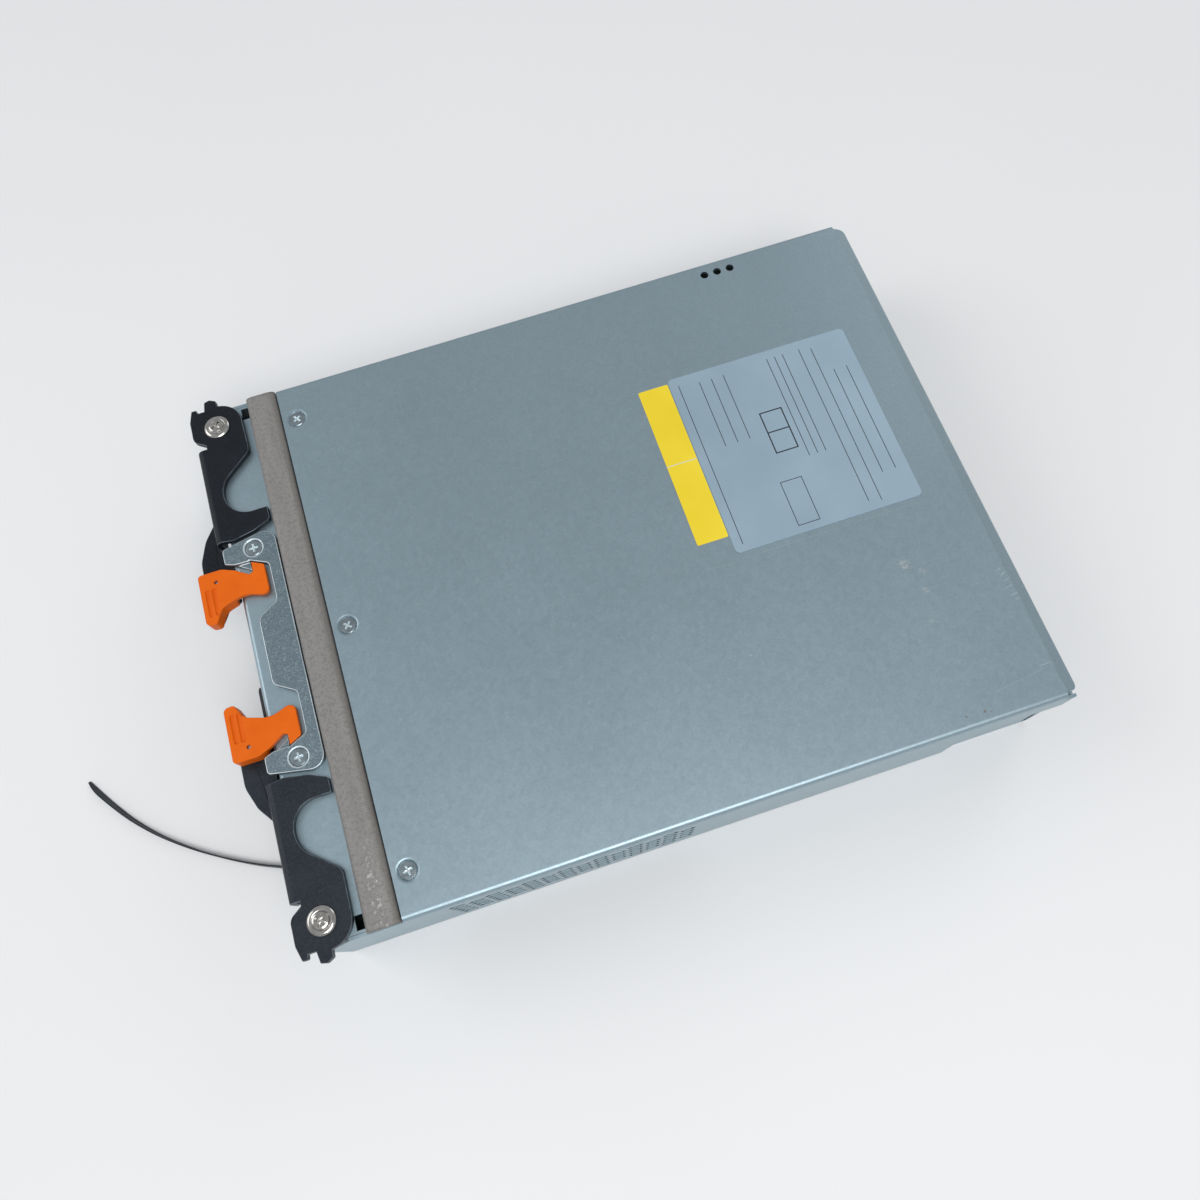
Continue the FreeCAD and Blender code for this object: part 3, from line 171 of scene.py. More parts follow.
def add_piece(name, corners, faces, smooth=True):
    mesh = bpy.data.meshes.new(name)
    mesh.from_pydata([tuple(c) for c in corners], [], faces)
    work = bmesh.new()
    work.from_mesh(mesh)
    bmesh.ops.remove_doubles(work, verts=work.verts, dist=merge_distance)
    bmesh.ops.recalc_face_normals(work, faces=work.faces)
    work.to_mesh(mesh)
    work.free()
    shade(mesh, smooth)
    return new_object(name, mesh)


def bake_modifiers(piece):
    baked = evaluated_mesh(piece)
    piece.modifiers.clear()
    piece.data = baked
    baked.name = piece.name


def tube_faces(rows, columns):
    faces = []
    for r in range(rows - 1):
        for c in range(columns):
            n = (c + 1) % columns
            faces.append((r * columns + c, r * columns + n, (r + 1) * columns + n, (r + 1) * columns + c))
    last = (rows - 1) * columns
    faces.append(tuple(reversed(range(columns))))
    faces.append(tuple(range(last, last + columns)))
    return faces


def loft(name, rows, smooth=True):
    corners = [corner for row in rows for corner in row]
    return add_piece(name, corners, tube_faces(len(rows), len(rows[0])), smooth)


def lathe(name, profile, sides):
    turns = [2 * math.pi * k / sides for k in range(sides)]
    return loft(name, [[(radius * math.cos(a), radius * math.sin(a), z) for a in turns]
                       for radius, z in profile])


# %% Strap mesh
tooth_pitch = 1.0 * mm
tooth_steps = 4
tooth_depth = 0.14 * mm
corner_cut = 0.14 * mm
plain_start = 4 * mm
tip_taper = 7.0 * mm
lean_start = math.radians(9)
lean_end = math.radians(-38)


def strap_section(station, side, share, tooth, lean):
    half_w = strap_width / 2 * (1 - 0.55 * share ** 2)
    half_t = strap_thickness / 2 * (1 - 0.3 * share)
    rail, groove = half_w * 0.62, half_w * 0.60
    inner = half_t - tooth
    outline = [(-half_w, half_t - corner_cut), (-half_w + corner_cut, half_t), (-rail, half_t),
               (-groove, inner), (groove, inner), (rail, half_t), (half_w - corner_cut, half_t),
               (half_w, half_t - corner_cut), (half_w, corner_cut - half_t),
               (half_w - corner_cut, -half_t), (-half_w + corner_cut, -half_t),
               (-half_w, corner_cut - half_t)]
    foot = station - Vector((0, 0, strap_width / 2))
    rise = Vector((0, 0, math.cos(lean))) + side * math.sin(lean)
    across = side * math.cos(lean) - Vector((0, 0, math.sin(lean)))
    return [foot + rise * (w + half_w) + across * t for w, t in outline]


def strap_mesh():
    stations = even_stations(strap_path, tooth_pitch / tooth_steps)
    rows = []
    run = 0.0
    total = path_length(stations)
    for k, station in enumerate(stations):
        if k:
            run += (station - stations[k - 1]).length
        ahead = stations[min(k + 1, len(stations) - 1)] - stations[max(k - 1, 0)]
        side = Vector((ahead.y, -ahead.x, 0)).normalized()
        share = max(0.0, 1 - (total - run) / tip_taper)
        toothed = plain_start < run < total - 2 * tip_taper
        tooth = tooth_depth * (k % tooth_steps) / (tooth_steps - 1) if toothed else 0.0
        lean = lean_start + (lean_end - lean_start) * (run / total) ** 2
        rows.append(strap_section(station, side, share, tooth, lean))
    return loft("strap_tail", rows, smooth=False)


strap_tail = strap_mesh()
print("strap:", len(strap_tail.data.polygons), "faces")

# %% [markdown]
# ## Material helpers
# Every finish is a small network on the Principled shader. Patterns read object coordinates, so they
# are in metres: a noise scale of 2000 gives grains of about half a millimetre.

# %% Material helpers
noise_roughness = 0.55


class Finish:
    def __init__(self, name, colour, metallic=0.0, roughness=0.5, sheen=0.5):
        self.material = bpy.data.materials.new(name)
        self.material.use_nodes = True
        self.tree = self.material.node_tree
        self.shader = self.tree.nodes["Principled BSDF"]
        self.shader.inputs["Base Color"].default_value = (*colour, 1.0)
        self.shader.inputs["Metallic"].default_value = metallic
        self.shader.inputs["Roughness"].default_value = roughness
        self.shader.inputs["Specular IOR Level"].default_value = sheen
        self.place = self.tree.nodes.new("ShaderNodeTexCoord").outputs["Object"]

    def node(self, kind, **settings):
        made = self.tree.nodes.new(kind)
        for key, value in settings.items():
            if hasattr(made, key):
                setattr(made, key, value)
            else:
                made.inputs[key.replace("_", " ").title()].default_value = value
        return made

    def link(self, source, target):
        self.tree.links.new(source, target)

    def stretched(self, scale):
        mapping = self.node("ShaderNodeMapping")
        mapping.inputs["Scale"].default_value = scale
        self.link(self.place, mapping.inputs["Vector"])
        return mapping.outputs["Vector"]

    def noise(self, scale, detail=3.0, vector=None):
        made = self.node("ShaderNodeTexNoise", scale=scale, detail=detail, roughness=noise_roughness)
        self.link(vector or self.place, made.inputs["Vector"])
        return made.outputs["Fac"]

    def wave(self, direction, scale, distortion=0.0):
        made = self.node("ShaderNodeTexWave", wave_type="BANDS", bands_direction=direction,
                         scale=scale, distortion=distortion)
        self.link(self.place, made.inputs["Vector"])
        return made.outputs["Fac"]

    def cells(self, scale):
        made = self.node("ShaderNodeTexVoronoi", scale=scale)
        self.link(self.place, made.inputs["Vector"])
        channels = self.node("ShaderNodeSeparateColor")
        self.link(made.outputs["Color"], channels.inputs["Color"])
        return channels.outputs

    def axes(self, vector=None):
        parts = self.node("ShaderNodeSeparateXYZ")
        self.link(vector or self.place, parts.inputs["Vector"])
        return parts.outputs

    def distance(self, centre):
        made = self.node("ShaderNodeVectorMath", operation="DISTANCE")
        self.link(self.place, made.inputs[0])
        made.inputs[1].default_value = centre
        return made.outputs["Value"]

    def spread(self, value, low, high, to_low=0.0, to_high=1.0):
        made = self.node("ShaderNodeMapRange", from_min=low, from_max=high, to_min=to_low, to_max=to_high)
        self.link(value, made.inputs["Value"])
        return made.outputs["Result"]

    def math(self, operation, a, b=None):
        made = self.node("ShaderNodeMath", operation=operation)
        for socket, value in zip(made.inputs, (a, b)):
            if value is None:
                continue
            if isinstance(value, (int, float)):
                socket.default_value = value
            else:
                self.link(value, socket)
        return made.outputs["Value"]

    def blend(self, share, first, second):
        made = self.node("ShaderNodeMix", data_type="RGBA")
        sockets = (made.inputs[0], made.inputs[6], made.inputs[7])
        for socket, value in zip(sockets, (share, first, second)):
            if isinstance(value, (int, float)):
                socket.default_value = value
            elif isinstance(value, tuple):
                socket.default_value = (*value, 1.0)
            else:
                self.link(value, socket)
        return made.outputs[2]

    def edges(self):
        return self.node("ShaderNodeAttribute", attribute_name="edge").outputs["Fac"]

    def colour(self, value):
        self.link(value, self.shader.inputs["Base Color"])

    def rough(self, value):
        self.link(value, self.shader.inputs["Roughness"])

    def bump(self, height, strength, distance=0.0001):
        made = self.node("ShaderNodeBump")
        made.inputs["Strength"].default_value = strength
        made.inputs["Distance"].default_value = distance
        self.link(height, made.inputs["Height"])
        if self.shader.inputs["Normal"].is_linked:
            self.link(self.shader.inputs["Normal"].links[0].from_socket, made.inputs["Normal"])
        self.link(made.outputs["Normal"], self.shader.inputs["Normal"])


def wear(piece, finish):
    piece.data.materials.clear()
    piece.data.materials.append(finish.material)


# %% [markdown]
# ## Zinc-coated steel
# The case is folded from galvanised sheet. Zinc freezes in small crystals, so the blue-grey metal is
# mottled, with patches that scatter a little more or less light. Crystal cells, broad clouds and a fine
# grain mix into the colour and the roughness. The photographed case also has a few rust freckles, pale
# smudges and hairline scratches, which are placed as soft spots and thin lines. Their places are
# in millimetres on the cover. A scratch also gives its angle, half length and half width.

# %% Galvanised sheet
zinc = (0.325, 0.420, 0.465)
zinc_dark = (0.295, 0.385, 0.430)
zinc_light = (0.385, 0.480, 0.525)
rust = (0.23, 0.105, 0.05)
smudge = (0.62, 0.62, 0.60)
bright_zinc = (0.70, 0.76, 0.79)
rust_spots = [((171.0, -86.0), 0.45), ((176.7, -86.1), 0.7), ((178.5, -86.7), 0.35)]
smudges = [((173.5, -36.4), 3.0), ((177.7, -40.1), 1.5), ((176.3, -46.2), 1.6), ((173.7, -55.9), 1.1),
           ((128.2, -45.9), 0.5), ((118.6, -48.6), 0.5)]
scratches = [((190.6, -80.8), 0.135, 10.4, 0.06), ((199.4, -78.7), 0.08, 2.2, 0.14),
             ((119.8, -18.9), -0.05, 5.3, 0.05), ((155.0, -18.6), 0.0, 32.0, 0.05),
             ((199.9, -47.2), 0.6, 0.9, 0.14), ((200.4, -48.8), 0.5, 1.2, 0.20),
             ((200.6, -51.0), 0.35, 1.3, 0.12), ((200.2, -53.2), 0.3, 1.4, 0.16),
             ((200.9, -55.9), 0.2, 1.5, 0.16), ((201.0, -57.6), 0.25, 1.0, 0.12)]
screw_inset = 4.7 * mm
screw_seats = [(cover_x + screw_inset, y * mm, top_z) for y in (-76.85, 0.0, 76.85)]
seat_inner = 2.85 * mm
seat_outer = 3.55 * mm


def spot_mask(finish, centre, radius):
    ragged = finish.math("MULTIPLY", finish.noise(1400.0, 4.0), radius * 1.3)
    return finish.spread(finish.math("ADD", finish.distance(centre), ragged), radius * 1.5, radius * 0.9)


def scratch_mask(finish, centre, angle, length, width):
    local = finish.node("ShaderNodeMapping", vector_type="TEXTURE")
    local.inputs["Location"].default_value = centre
    local.inputs["Rotation"].default_value = (0.0, 0.0, angle)
    finish.link(finish.place, local.inputs["Vector"])
    parts = finish.axes(local.outputs["Vector"])
    wander = finish.math("SINE", finish.math("MULTIPLY", parts["X"], 420.0))
    bend = finish.math("MULTIPLY", wander, width * 1.5)
    across = finish.math("ABSOLUTE", finish.math("ADD", parts["Y"], bend))
    along = finish.math("ABSOLUTE", parts["X"])
    thin = finish.spread(across, width, 0.0)
    ends = finish.spread(along, length, length * 0.6)
    return finish.math("MULTIPLY", thin, ends)


def strongest(finish, masks):
    whole = masks[0]
    for mask in masks[1:]:
        whole = finish.math("MAXIMUM", whole, mask)
    return whole


def galvanised(name, marks, seats=()):
    finish = Finish(name, zinc, metallic=0.9, roughness=0.42)
    crystal = finish.cells(620.0)
    broad = finish.noise(16.0, 2.0)
    mottle = finish.noise(190.0, 3.0)
    grain = finish.noise(2300.0, 3.0)
    fleck = finish.noise(1050.0, 2.0)
    tone = finish.blend(finish.spread(broad, 0.3, 0.7, 0.3, 0.9), zinc_dark, zinc)
    tone = finish.blend(finish.spread(mottle, 0.35, 0.75, 0.0, 0.12), tone, zinc_light)
    tone = finish.blend(finish.spread(crystal["Red"], 0.5, 1.0, 0.0, 0.18), tone, zinc_light)
    tone = finish.blend(finish.spread(grain, 0.42, 0.72, 0.0, 0.50), tone, zinc_light)
    tone = finish.blend(finish.spread(fleck, 0.56, 0.34, 0.0, 0.55), tone, zinc_dark)
    if marks:
        spots, dull = ([spot_mask(finish, (cover_x + x * mm, y * mm, top_z), r * mm)
                        for (x, y), r in places] for places in (rust_spots, smudges))
        lines = [scratch_mask(finish, (cover_x + x * mm, y * mm, top_z), a, length * mm, width * mm)
                 for (x, y), a, length, width in scratches]
        broken = finish.spread(finish.noise(1000.0, 4.0), 0.42, 0.58, 0.0, 0.60)
        tone = finish.blend(finish.math("MULTIPLY", strongest(finish, dull), broken), tone, smudge)
        tone = finish.blend(finish.math("MULTIPLY", strongest(finish, lines), 0.7), tone, bright_zinc)
        tone = finish.blend(finish.math("MULTIPLY", strongest(finish, spots), 0.55), tone, rust)
    finish.colour(tone)
    patchy = finish.spread(crystal["Green"], 0.0, 1.0, 0.385, 0.435)
    finish.rough(finish.math("ADD", patchy, finish.spread(broad, 0.2, 0.8, -0.02, 0.03)))
    finish.bump(grain, 0.12, 0.00005)
    for seat in seats:
        finish.bump(finish.spread(finish.distance(seat), seat_inner, seat_outer), 0.8, 0.00022)
    return finish


def spangled(name):
    finish = Finish(name, zinc, metallic=0.9, roughness=0.40)
    flakes = finish.cells(2300.0)
    grain = finish.noise(2700.0, 3.0)
    cloud = finish.noise(120.0, 3.0)
    tone = finish.blend(finish.spread(grain, 0.38, 0.66), (0.130, 0.174, 0.201), (0.243, 0.309, 0.345))
    tone = finish.blend(finish.spread(flakes["Red"], 0.74, 1.0, 0.0, 0.6), tone, (0.37, 0.44, 0.475))
    tone = finish.blend(finish.spread(cloud, 0.35, 0.7, 0.0, 0.35), tone, (0.18, 0.228, 0.255))
    # The marked bevel bands are painted a pale zinc: a painted highlight along the bracket's edges.
    edge_wear_and_highlight = finish.math("MULTIPLY", finish.edges(), finish.spread(cloud, 0.3, 0.6, 0.55, 1.0))
    tone = finish.blend(edge_wear_and_highlight, tone, (0.68, 0.75, 0.78))
    finish.colour(tone)
    finish.rough(finish.spread(flakes["Green"], 0.0, 1.0, 0.42, 0.54))
    finish.bump(grain, 0.22, 0.0001)
    return finish


cover_zinc = galvanised("galvanised_cover", True, screw_seats)
tray_zinc = galvanised("galvanised_tray", False)
bracket_zinc = spangled("galvanised_bracket")
wear(nodes["outer_cover"], cover_zinc)
wear(nodes["base_tray"], tray_zinc)
print("galvanised sheet: three finishes")

# %% [markdown]
# ## Painted and moulded finishes
# The levers are steel under a black powder coat: a fine orange-peel, worn pale on the corners. Both
# levers wear one paint, and the left one gets a darker copy of it: that darkening is painted shade. The
# latches are moulded in orange plastic, almost smooth. The inlet and the connector are black mouldings,
# and the fans are a slightly greyer one. Each gets its own grain, because a flat colour looks like a toy.

# %% Powder coat, plastics and plated metal
coat_tones = ((0.008, 0.0125, 0.019), (0.014, 0.020, 0.029), (0.022, 0.029, 0.040))


def powder_coat(name, lightness, sheen):
    low, high, skin = [tuple(lightness * part for part in tone) for tone in coat_tones]
    finish = Finish(name, high, roughness=0.45, sheen=sheen)
    peel = finish.noise(1150.0, 3.0)
    cloud = finish.noise(130.0, 4.0)
    dust = finish.noise(3800.0, 2.0)
    rub = finish.noise(260.0, 4.0)
    tone = finish.blend(finish.spread(cloud, 0.3, 0.75), low, high)
    tone = finish.blend(finish.spread(peel, 0.46, 0.64, 0.0, 0.60), tone, skin)
    tone = finish.blend(finish.spread(dust, 0.66, 0.80, 0.0, 0.35), tone, (0.09, 0.10, 0.11))
    worn = finish.math("MULTIPLY", finish.edges(), finish.spread(rub, 0.40, 0.62, 0.30, 1.0))
    tone = finish.blend(worn, tone, (0.120, 0.145, 0.170))
    finish.colour(tone)
    finish.rough(finish.spread(cloud, 0.2, 0.8, 0.36, 0.50))
    finish.bump(peel, 0.42, 0.0002)
    return finish


def moulded(name, low, high, roughness, grain=0.12, sheen=0.5):
    finish = Finish(name, high, roughness=roughness, sheen=sheen)
    cloud = finish.noise(160.0, 4.0)
    skin = finish.noise(3200.0, 2.0)
    finish.colour(finish.blend(finish.spread(cloud, 0.3, 0.7), low, high))
    finish.rough(finish.spread(cloud, 0.2, 0.8, roughness - 0.05, roughness + 0.08))
    finish.bump(skin, grain, 0.0001)
    return finish


def plated(name, colour, roughness, recess=None):
    finish = Finish(name, colour, metallic=1.0, roughness=roughness)
    smear = finish.noise(500.0, 3.0)
    fine = finish.noise(4200.0, 2.0)
    darker = tuple(c * 0.78 for c in colour)
    tone = finish.blend(finish.spread(smear, 0.3, 0.7), darker, colour)
    # Faces marked as recess take the lighter recess colour: a painted highlight in the cross recess.
    finish.colour(finish.blend(finish.edges(), tone, recess) if recess else tone)
    finish.rough(finish.spread(smear, 0.2, 0.8, roughness, roughness + 0.14))
    finish.bump(fine, 0.06, 0.00005)
    return finish


def extruded(name, colour, roughness):
    finish = Finish(name, colour, metallic=0.95, roughness=roughness)
    lines = finish.noise(900.0, 2.0, finish.stretched((0.03, 1.0, 1.0)))
    darker = tuple(c * 0.8 for c in colour)
    finish.colour(finish.blend(finish.spread(lines, 0.3, 0.7), darker, colour))
    finish.rough(finish.spread(lines, 0.3, 0.7, roughness, roughness + 0.12))
    finish.bump(lines, 0.15, 0.0001)
    return finish


# The left lever's coat is the same paint made darker and less glossy: painted shade.
coats = {"right": powder_coat("black_powder_coat", lightness=0.92, sheen=0.32),
         "left": powder_coat("black_powder_coat_fresh", lightness=0.50, sheen=0.22)}
orange = moulded("latch_orange_plastic", (0.700, 0.115, 0.002), (0.755, 0.136, 0.003), 0.38, 0.05, 0.18)
black_plastic = moulded("black_moulding", (0.014, 0.014, 0.016), (0.026, 0.026, 0.029), 0.42)
fan_plastic = moulded("fan_moulding", (0.018, 0.018, 0.019), (0.034, 0.034, 0.036), 0.36)
nylon = moulded("strap_nylon", (0.010, 0.013, 0.018), (0.020, 0.025, 0.034), 0.38, 0.05, 0.4)
# The recess colours of these two platings are painted highlights in the screws' cross recesses.
nickel = plated("nickel_plate", (0.52, 0.50, 0.47), 0.10, (0.70, 0.69, 0.66))
zinc_plate = plated("zinc_plated_screw", (0.33, 0.39, 0.415), 0.22, (0.80, 0.89, 0.92))
contact = plated("contact_plate", (0.83, 0.66, 0.36), 0.24)
pin_silver = plated("pin_plate", (0.76, 0.75, 0.72), 0.24)
spring_wire = plated("spring_wire", (0.60, 0.60, 0.60), 0.25)
alloy = extruded("heatsink_alloy", (0.72, 0.73, 0.74), 0.30)
board_green = moulded("board_mask", (0.012, 0.10, 0.045), (0.020, 0.15, 0.065), 0.30, 0.08)
film_sheet = moulded("insulation_film", (0.62, 0.60, 0.52), (0.74, 0.72, 0.64), 0.25, 0.04)
sleeve_black = moulded("capacitor_sleeve", (0.012, 0.014, 0.030), (0.020, 0.024, 0.050), 0.25, 0.04)
box_yellow = moulded("film_box", (0.58, 0.42, 0.05), (0.68, 0.50, 0.07), 0.35)
tape_yellow = moulded("winding_tape", (0.60, 0.46, 0.04), (0.72, 0.56, 0.07), 0.28, 0.05)
ferrite = moulded("ferrite_core", (0.030, 0.030, 0.032), (0.050, 0.050, 0.053), 0.55, 0.3)
ceramic = moulded("fuse_ceramic", (0.66, 0.63, 0.57), (0.74, 0.71, 0.65), 0.40)


def copper_turns():
    finish = Finish("enamelled_copper", (0.42, 0.14, 0.045), metallic=0.8, roughness=0.28)
    # The wave bands make each turn lighter on its crown and darker in the groove beside it: painted
    # highlight and shade on the round wires.
    turns = finish.wave("X", 260.0, 2.0)
    finish.colour(finish.blend(turns, (0.20, 0.06, 0.02), (0.50, 0.18, 0.06)))
    finish.rough(finish.spread(finish.noise(600.0), 0.2, 0.8, 0.22, 0.38))
    finish.bump(turns, 0.5, 0.0003)
    return finish


def light_pipe():
    finish = Finish("light_pipe", (0.82, 0.86, 0.84), roughness=0.12)
    finish.shader.inputs["Transmission Weight"].default_value = 0.75
    finish.shader.inputs["IOR"].default_value = 1.5
    cloud = finish.noise(700.0, 3.0)
    finish.colour(finish.blend(finish.spread(cloud, 0.3, 0.7), (0.74, 0.80, 0.76), (0.88, 0.92, 0.90)))
    finish.rough(finish.spread(cloud, 0.2, 0.8, 0.08, 0.2))
    return finish


copper = copper_turns()
pipe_clear = light_pipe()
dressing = {
    black_plastic: ["inlet_housing", "output_connector", "inrush_relay", "primary_transistors",
                    "output_rectifiers"],
    fan_plastic: ["right_fan_frame", "left_fan_frame", "right_fan_rotor", "left_fan_rotor"],
    nylon: ["strap_mount"],
    nickel: ["pivot_nuts", "board_screws"],
    pin_silver: ["inlet_pins", "fuse_caps", "board_standoffs"],
    contact: ["output_blades", "signal_pins", "bus_bars"],
    spring_wire: ["right_latch_spring", "left_latch_spring", "right_latch_pin", "left_latch_pin"],
    alloy: ["primary_heatsink", "secondary_heatsink"],
    board_green: ["main_board", "control_board"],
    film_sheet: ["insulation_sheet"],
    sleeve_black: ["bulk_capacitors", "output_capacitors"],
    box_yellow: ["film_capacitors"],
    tape_yellow: ["transformer_winding"],
    ferrite: ["transformer_core"],
    ceramic: ["fuse_tube"],
    copper: ["filter_chokes", "boost_choke"],
    pipe_clear: ["status_lights"],
}
for finish, names in dressing.items():
    for name in names:
        wear(nodes[name], finish)
wear(strap_tail, nylon)
print("dressed", sum(len(names) for names in dressing.values()), "nodes")

# %% [markdown]
# ## Softened edges
# Real edges are never razor sharp: a stamped plate rolls over, a moulding has a small radius, and those
# narrow bands catch the light. In a copy of each shape, points that nearly meet are merged, so that no
# tiny edge holds the rounding back, and flat facets are joined. A bevel then rounds whatever turns by
# more than thirty degrees, and marks its bands: the levers' coat wears pale there, and the bracket gets a
# painted highlight there. Weighted normals keep the large faces flat beside them.

# %% Edge helper
sharp_turn = math.radians(30)
flat_turn = math.radians(1)


def add_bevel(piece, width, segments):
    bevel = piece.modifiers.new("edges", "BEVEL")
    bevel.width = width
    bevel.segments = segments
    bevel.limit_method = "ANGLE"
    bevel.angle_limit = sharp_turn
    return bevel


def mark_edges(piece, shares):
    piece.data.attributes.new("edge", "FLOAT", "FACE").data.foreach_set("value", shares)


def soften(node_name, body, finish, width, segments, merge):
    work = bmesh.new()
    work.from_mesh(nodes[node_name].data)
    bmesh.ops.remove_doubles(work, verts=work.verts, dist=merge)
    bmesh.ops.dissolve_limit(work, angle_limit=flat_turn, verts=work.verts, edges=work.edges)
    mesh = bpy.data.meshes.new(node_name + "_soft")
    work.to_mesh(mesh)
    work.free()
    for _ in range(2):
        mesh.materials.append(finish.material)
    mesh.polygons.foreach_set("material_index", [0] * len(mesh.polygons))
    shade(mesh)
    piece = new_object(node_name + "_soft", mesh)
    bevel = add_bevel(piece, width, segments)
    bevel.use_clamp_overlap = False
    bevel.material = 1
    level = piece.modifiers.new("level", "WEIGHTED_NORMAL")
    level.weight = 100
    bake_modifiers(piece)
    edge_wear_and_highlight = [float(face.material_index) for face in piece.data.polygons]
    mark_edges(piece, edge_wear_and_highlight)
    piece.data.polygons.foreach_set("material_index", [0] * len(edge_wear_and_highlight))
    wear(piece, finish)
    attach(piece, body)
    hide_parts(node_name)
    return piece


for side in ("right", "left"):
    lever = soften(side + "_lever", side + "_lever", coats[side],
                   width=0.22 * mm, segments=2, merge=0.12 * mm)
    latch = soften(side + "_latch", side + "_latch", orange,
                   width=0.28 * mm, segments=3, merge=0.20 * mm)
    print(side, "lever", len(lever.data.polygons), "latch", len(latch.data.polygons), "faces")
bracket = soften("latch_bracket", "chassis", bracket_zinc,
                 width=0.28 * mm, segments=2, merge=0.002 * mm)
print("bracket", len(bracket.data.polygons), "faces")

# %% [markdown]
# ## Screws with a cross recess
# The drive recess is what makes a screw look like a screw. One head is turned on a lathe, a tapered
# cross is cut into it with a boolean, and Geometry Nodes put a copy on every screw's place with its
# own turn, as hands leave them. The tree ends by making the copies real and giving them their metal.

# %% Recessed head
head_sides = 40
head_rounding = 0.06 * mm
recess_skin = 0.04 * mm


def cross_arm(reach, depth, arm, top, angle):
    along = Vector((math.cos(angle), math.sin(angle), 0))
    across = Vector((-math.sin(angle), math.cos(angle), 0))
    rings = ((reach, arm, top + depth), (reach, arm, top), (reach * 0.62, arm * 0.75, top - depth))
    rows = [[along * length * s + across * width * t + Vector((0, 0, z))
             for s, t in ((-1, -1), (1, -1), (1, 1), (-1, 1))] for length, width, z in rings]
    return loft("cutter", rows)


def recessed_head(name, profile, finish, reach, depth, arm):
    top = max(z for _, z in profile)
    head = lathe(name, profile, head_sides)
    for angle in (0.0, math.pi / 2):
        cutter = cross_arm(reach, depth, arm, top, angle)
        cut = head.modifiers.new("recess", "BOOLEAN")
        cut.object = cutter
        cut.solver = "EXACT"
        bake_modifiers(head)
        bpy.data.objects.remove(cutter)
    bevel = add_bevel(head, head_rounding, 2)
    bevel.harden_normals = True
    bake_modifiers(head)
    shade(head.data)
    # The recess faces are marked so that the plating paints them lighter: a painted highlight.
    mark_edges(head, [float(f.center.z < top - recess_skin and f.center.xy.length < reach)
                      for f in head.data.polygons])
    wear(head, finish)
    return head


# %% Screw tree
def screw_tree():
    tree = bpy.data.node_groups.new("screws_on_places", "GeometryNodeTree")
    sockets = (("Places", "INPUT", "NodeSocketGeometry"), ("Head", "INPUT", "NodeSocketObject"),
               ("Metal", "INPUT", "NodeSocketMaterial"), ("Seed", "INPUT", "NodeSocketInt"),
               ("Tilt", "INPUT", "NodeSocketRotation"), ("Screws", "OUTPUT", "NodeSocketGeometry"))
    for name, way, kind in sockets:
        tree.interface.new_socket(name=name, in_out=way, socket_type=kind)
    made = {kind: tree.nodes.new(kind) for kind in
            ("NodeGroupInput", "NodeGroupOutput", "GeometryNodeObjectInfo",
             "GeometryNodeInstanceOnPoints", "FunctionNodeRandomValue", "FunctionNodeEulerToRotation",
             "FunctionNodeRotateRotation", "GeometryNodeRealizeInstances", "GeometryNodeSetMaterial",
             "ShaderNodeCombineXYZ")}
    given, put = made["NodeGroupInput"].outputs, made["GeometryNodeInstanceOnPoints"]
    join = tree.links.new
    join(given["Head"], made["GeometryNodeObjectInfo"].inputs["Object"])
    join(given["Places"], put.inputs["Points"])
    join(made["GeometryNodeObjectInfo"].outputs["Geometry"], put.inputs["Instance"])
    chance = made["FunctionNodeRandomValue"]
    chance.inputs[3].default_value = math.pi
    join(given["Seed"], chance.inputs["Seed"])
    join(chance.outputs[1], made["ShaderNodeCombineXYZ"].inputs["Z"])
    join(made["ShaderNodeCombineXYZ"].outputs[0], made["FunctionNodeEulerToRotation"].inputs[0])
    spin = made["FunctionNodeRotateRotation"]
    join(made["FunctionNodeEulerToRotation"].outputs[0], spin.inputs[0])
    join(given["Tilt"], spin.inputs[1])
    join(spin.outputs[0], put.inputs["Rotation"])
    join(put.outputs["Instances"], made["GeometryNodeRealizeInstances"].inputs[0])
    metal = made["GeometryNodeSetMaterial"]
    join(made["GeometryNodeRealizeInstances"].outputs[0], metal.inputs["Geometry"])
    join(given["Metal"], metal.inputs["Material"])
    join(metal.outputs[0], made["NodeGroupOutput"].inputs[0])
    return tree


solid_merge = 2e-6
screws_on_places = screw_tree()


def set_screws(node_name, piece_name, places, head, finish, seed, tilt=(0.0, 0.0, 0.0)):
    mesh = bpy.data.meshes.new(piece_name)
    mesh.from_pydata([tuple(p) for p in places], [], [])
    piece = new_object(piece_name, mesh)
    tree = piece.modifiers.new("screws", "NODES")
    tree.node_group = screws_on_places
    inputs = {item.name: item.identifier for item in screws_on_places.interface.items_tree
              if item.in_out == "INPUT"}
    tree[inputs["Head"]] = head
    tree[inputs["Metal"]] = finish.material
    tree[inputs["Seed"]] = seed
    tree[inputs["Tilt"]] = tilt
    bake_modifiers(piece)
    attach(piece, "chassis")
    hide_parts(node_name)
    print(node_name, len(places), "screws")


def solid_boxes(node_name):
    work = bmesh.new()
    work.from_mesh(nodes[node_name].data)
    bmesh.ops.remove_doubles(work, verts=work.verts, dist=solid_merge)
    left = set(work.verts)
    boxes = []
    while left:
        group, queue = [], [left.pop()]
        while queue:
            vert = queue.pop()
            group.append(vert.co.copy())
            for edge in vert.link_edges:
                other = edge.other_vert(vert)
                if other in left:
                    left.remove(other)
                    queue.append(other)
        boxes.append((Vector(map(min, *map(tuple, group))), Vector(map(max, *map(tuple, group)))))
    work.free()
    return sorted(boxes, key=lambda b: (round(b[0].y, 4), round(b[0].z, 4), round(b[0].x, 4)))


def top_places(node_name):
    return [Vector(((low.x + high.x) / 2, (low.y + high.y) / 2, high.z))
            for low, high in solid_boxes(node_name)]


def front_places(node_name):
    return [Vector((low.x, (low.y + high.y) / 2, (low.z + high.z) / 2))
            for low, high in solid_boxes(node_name)]


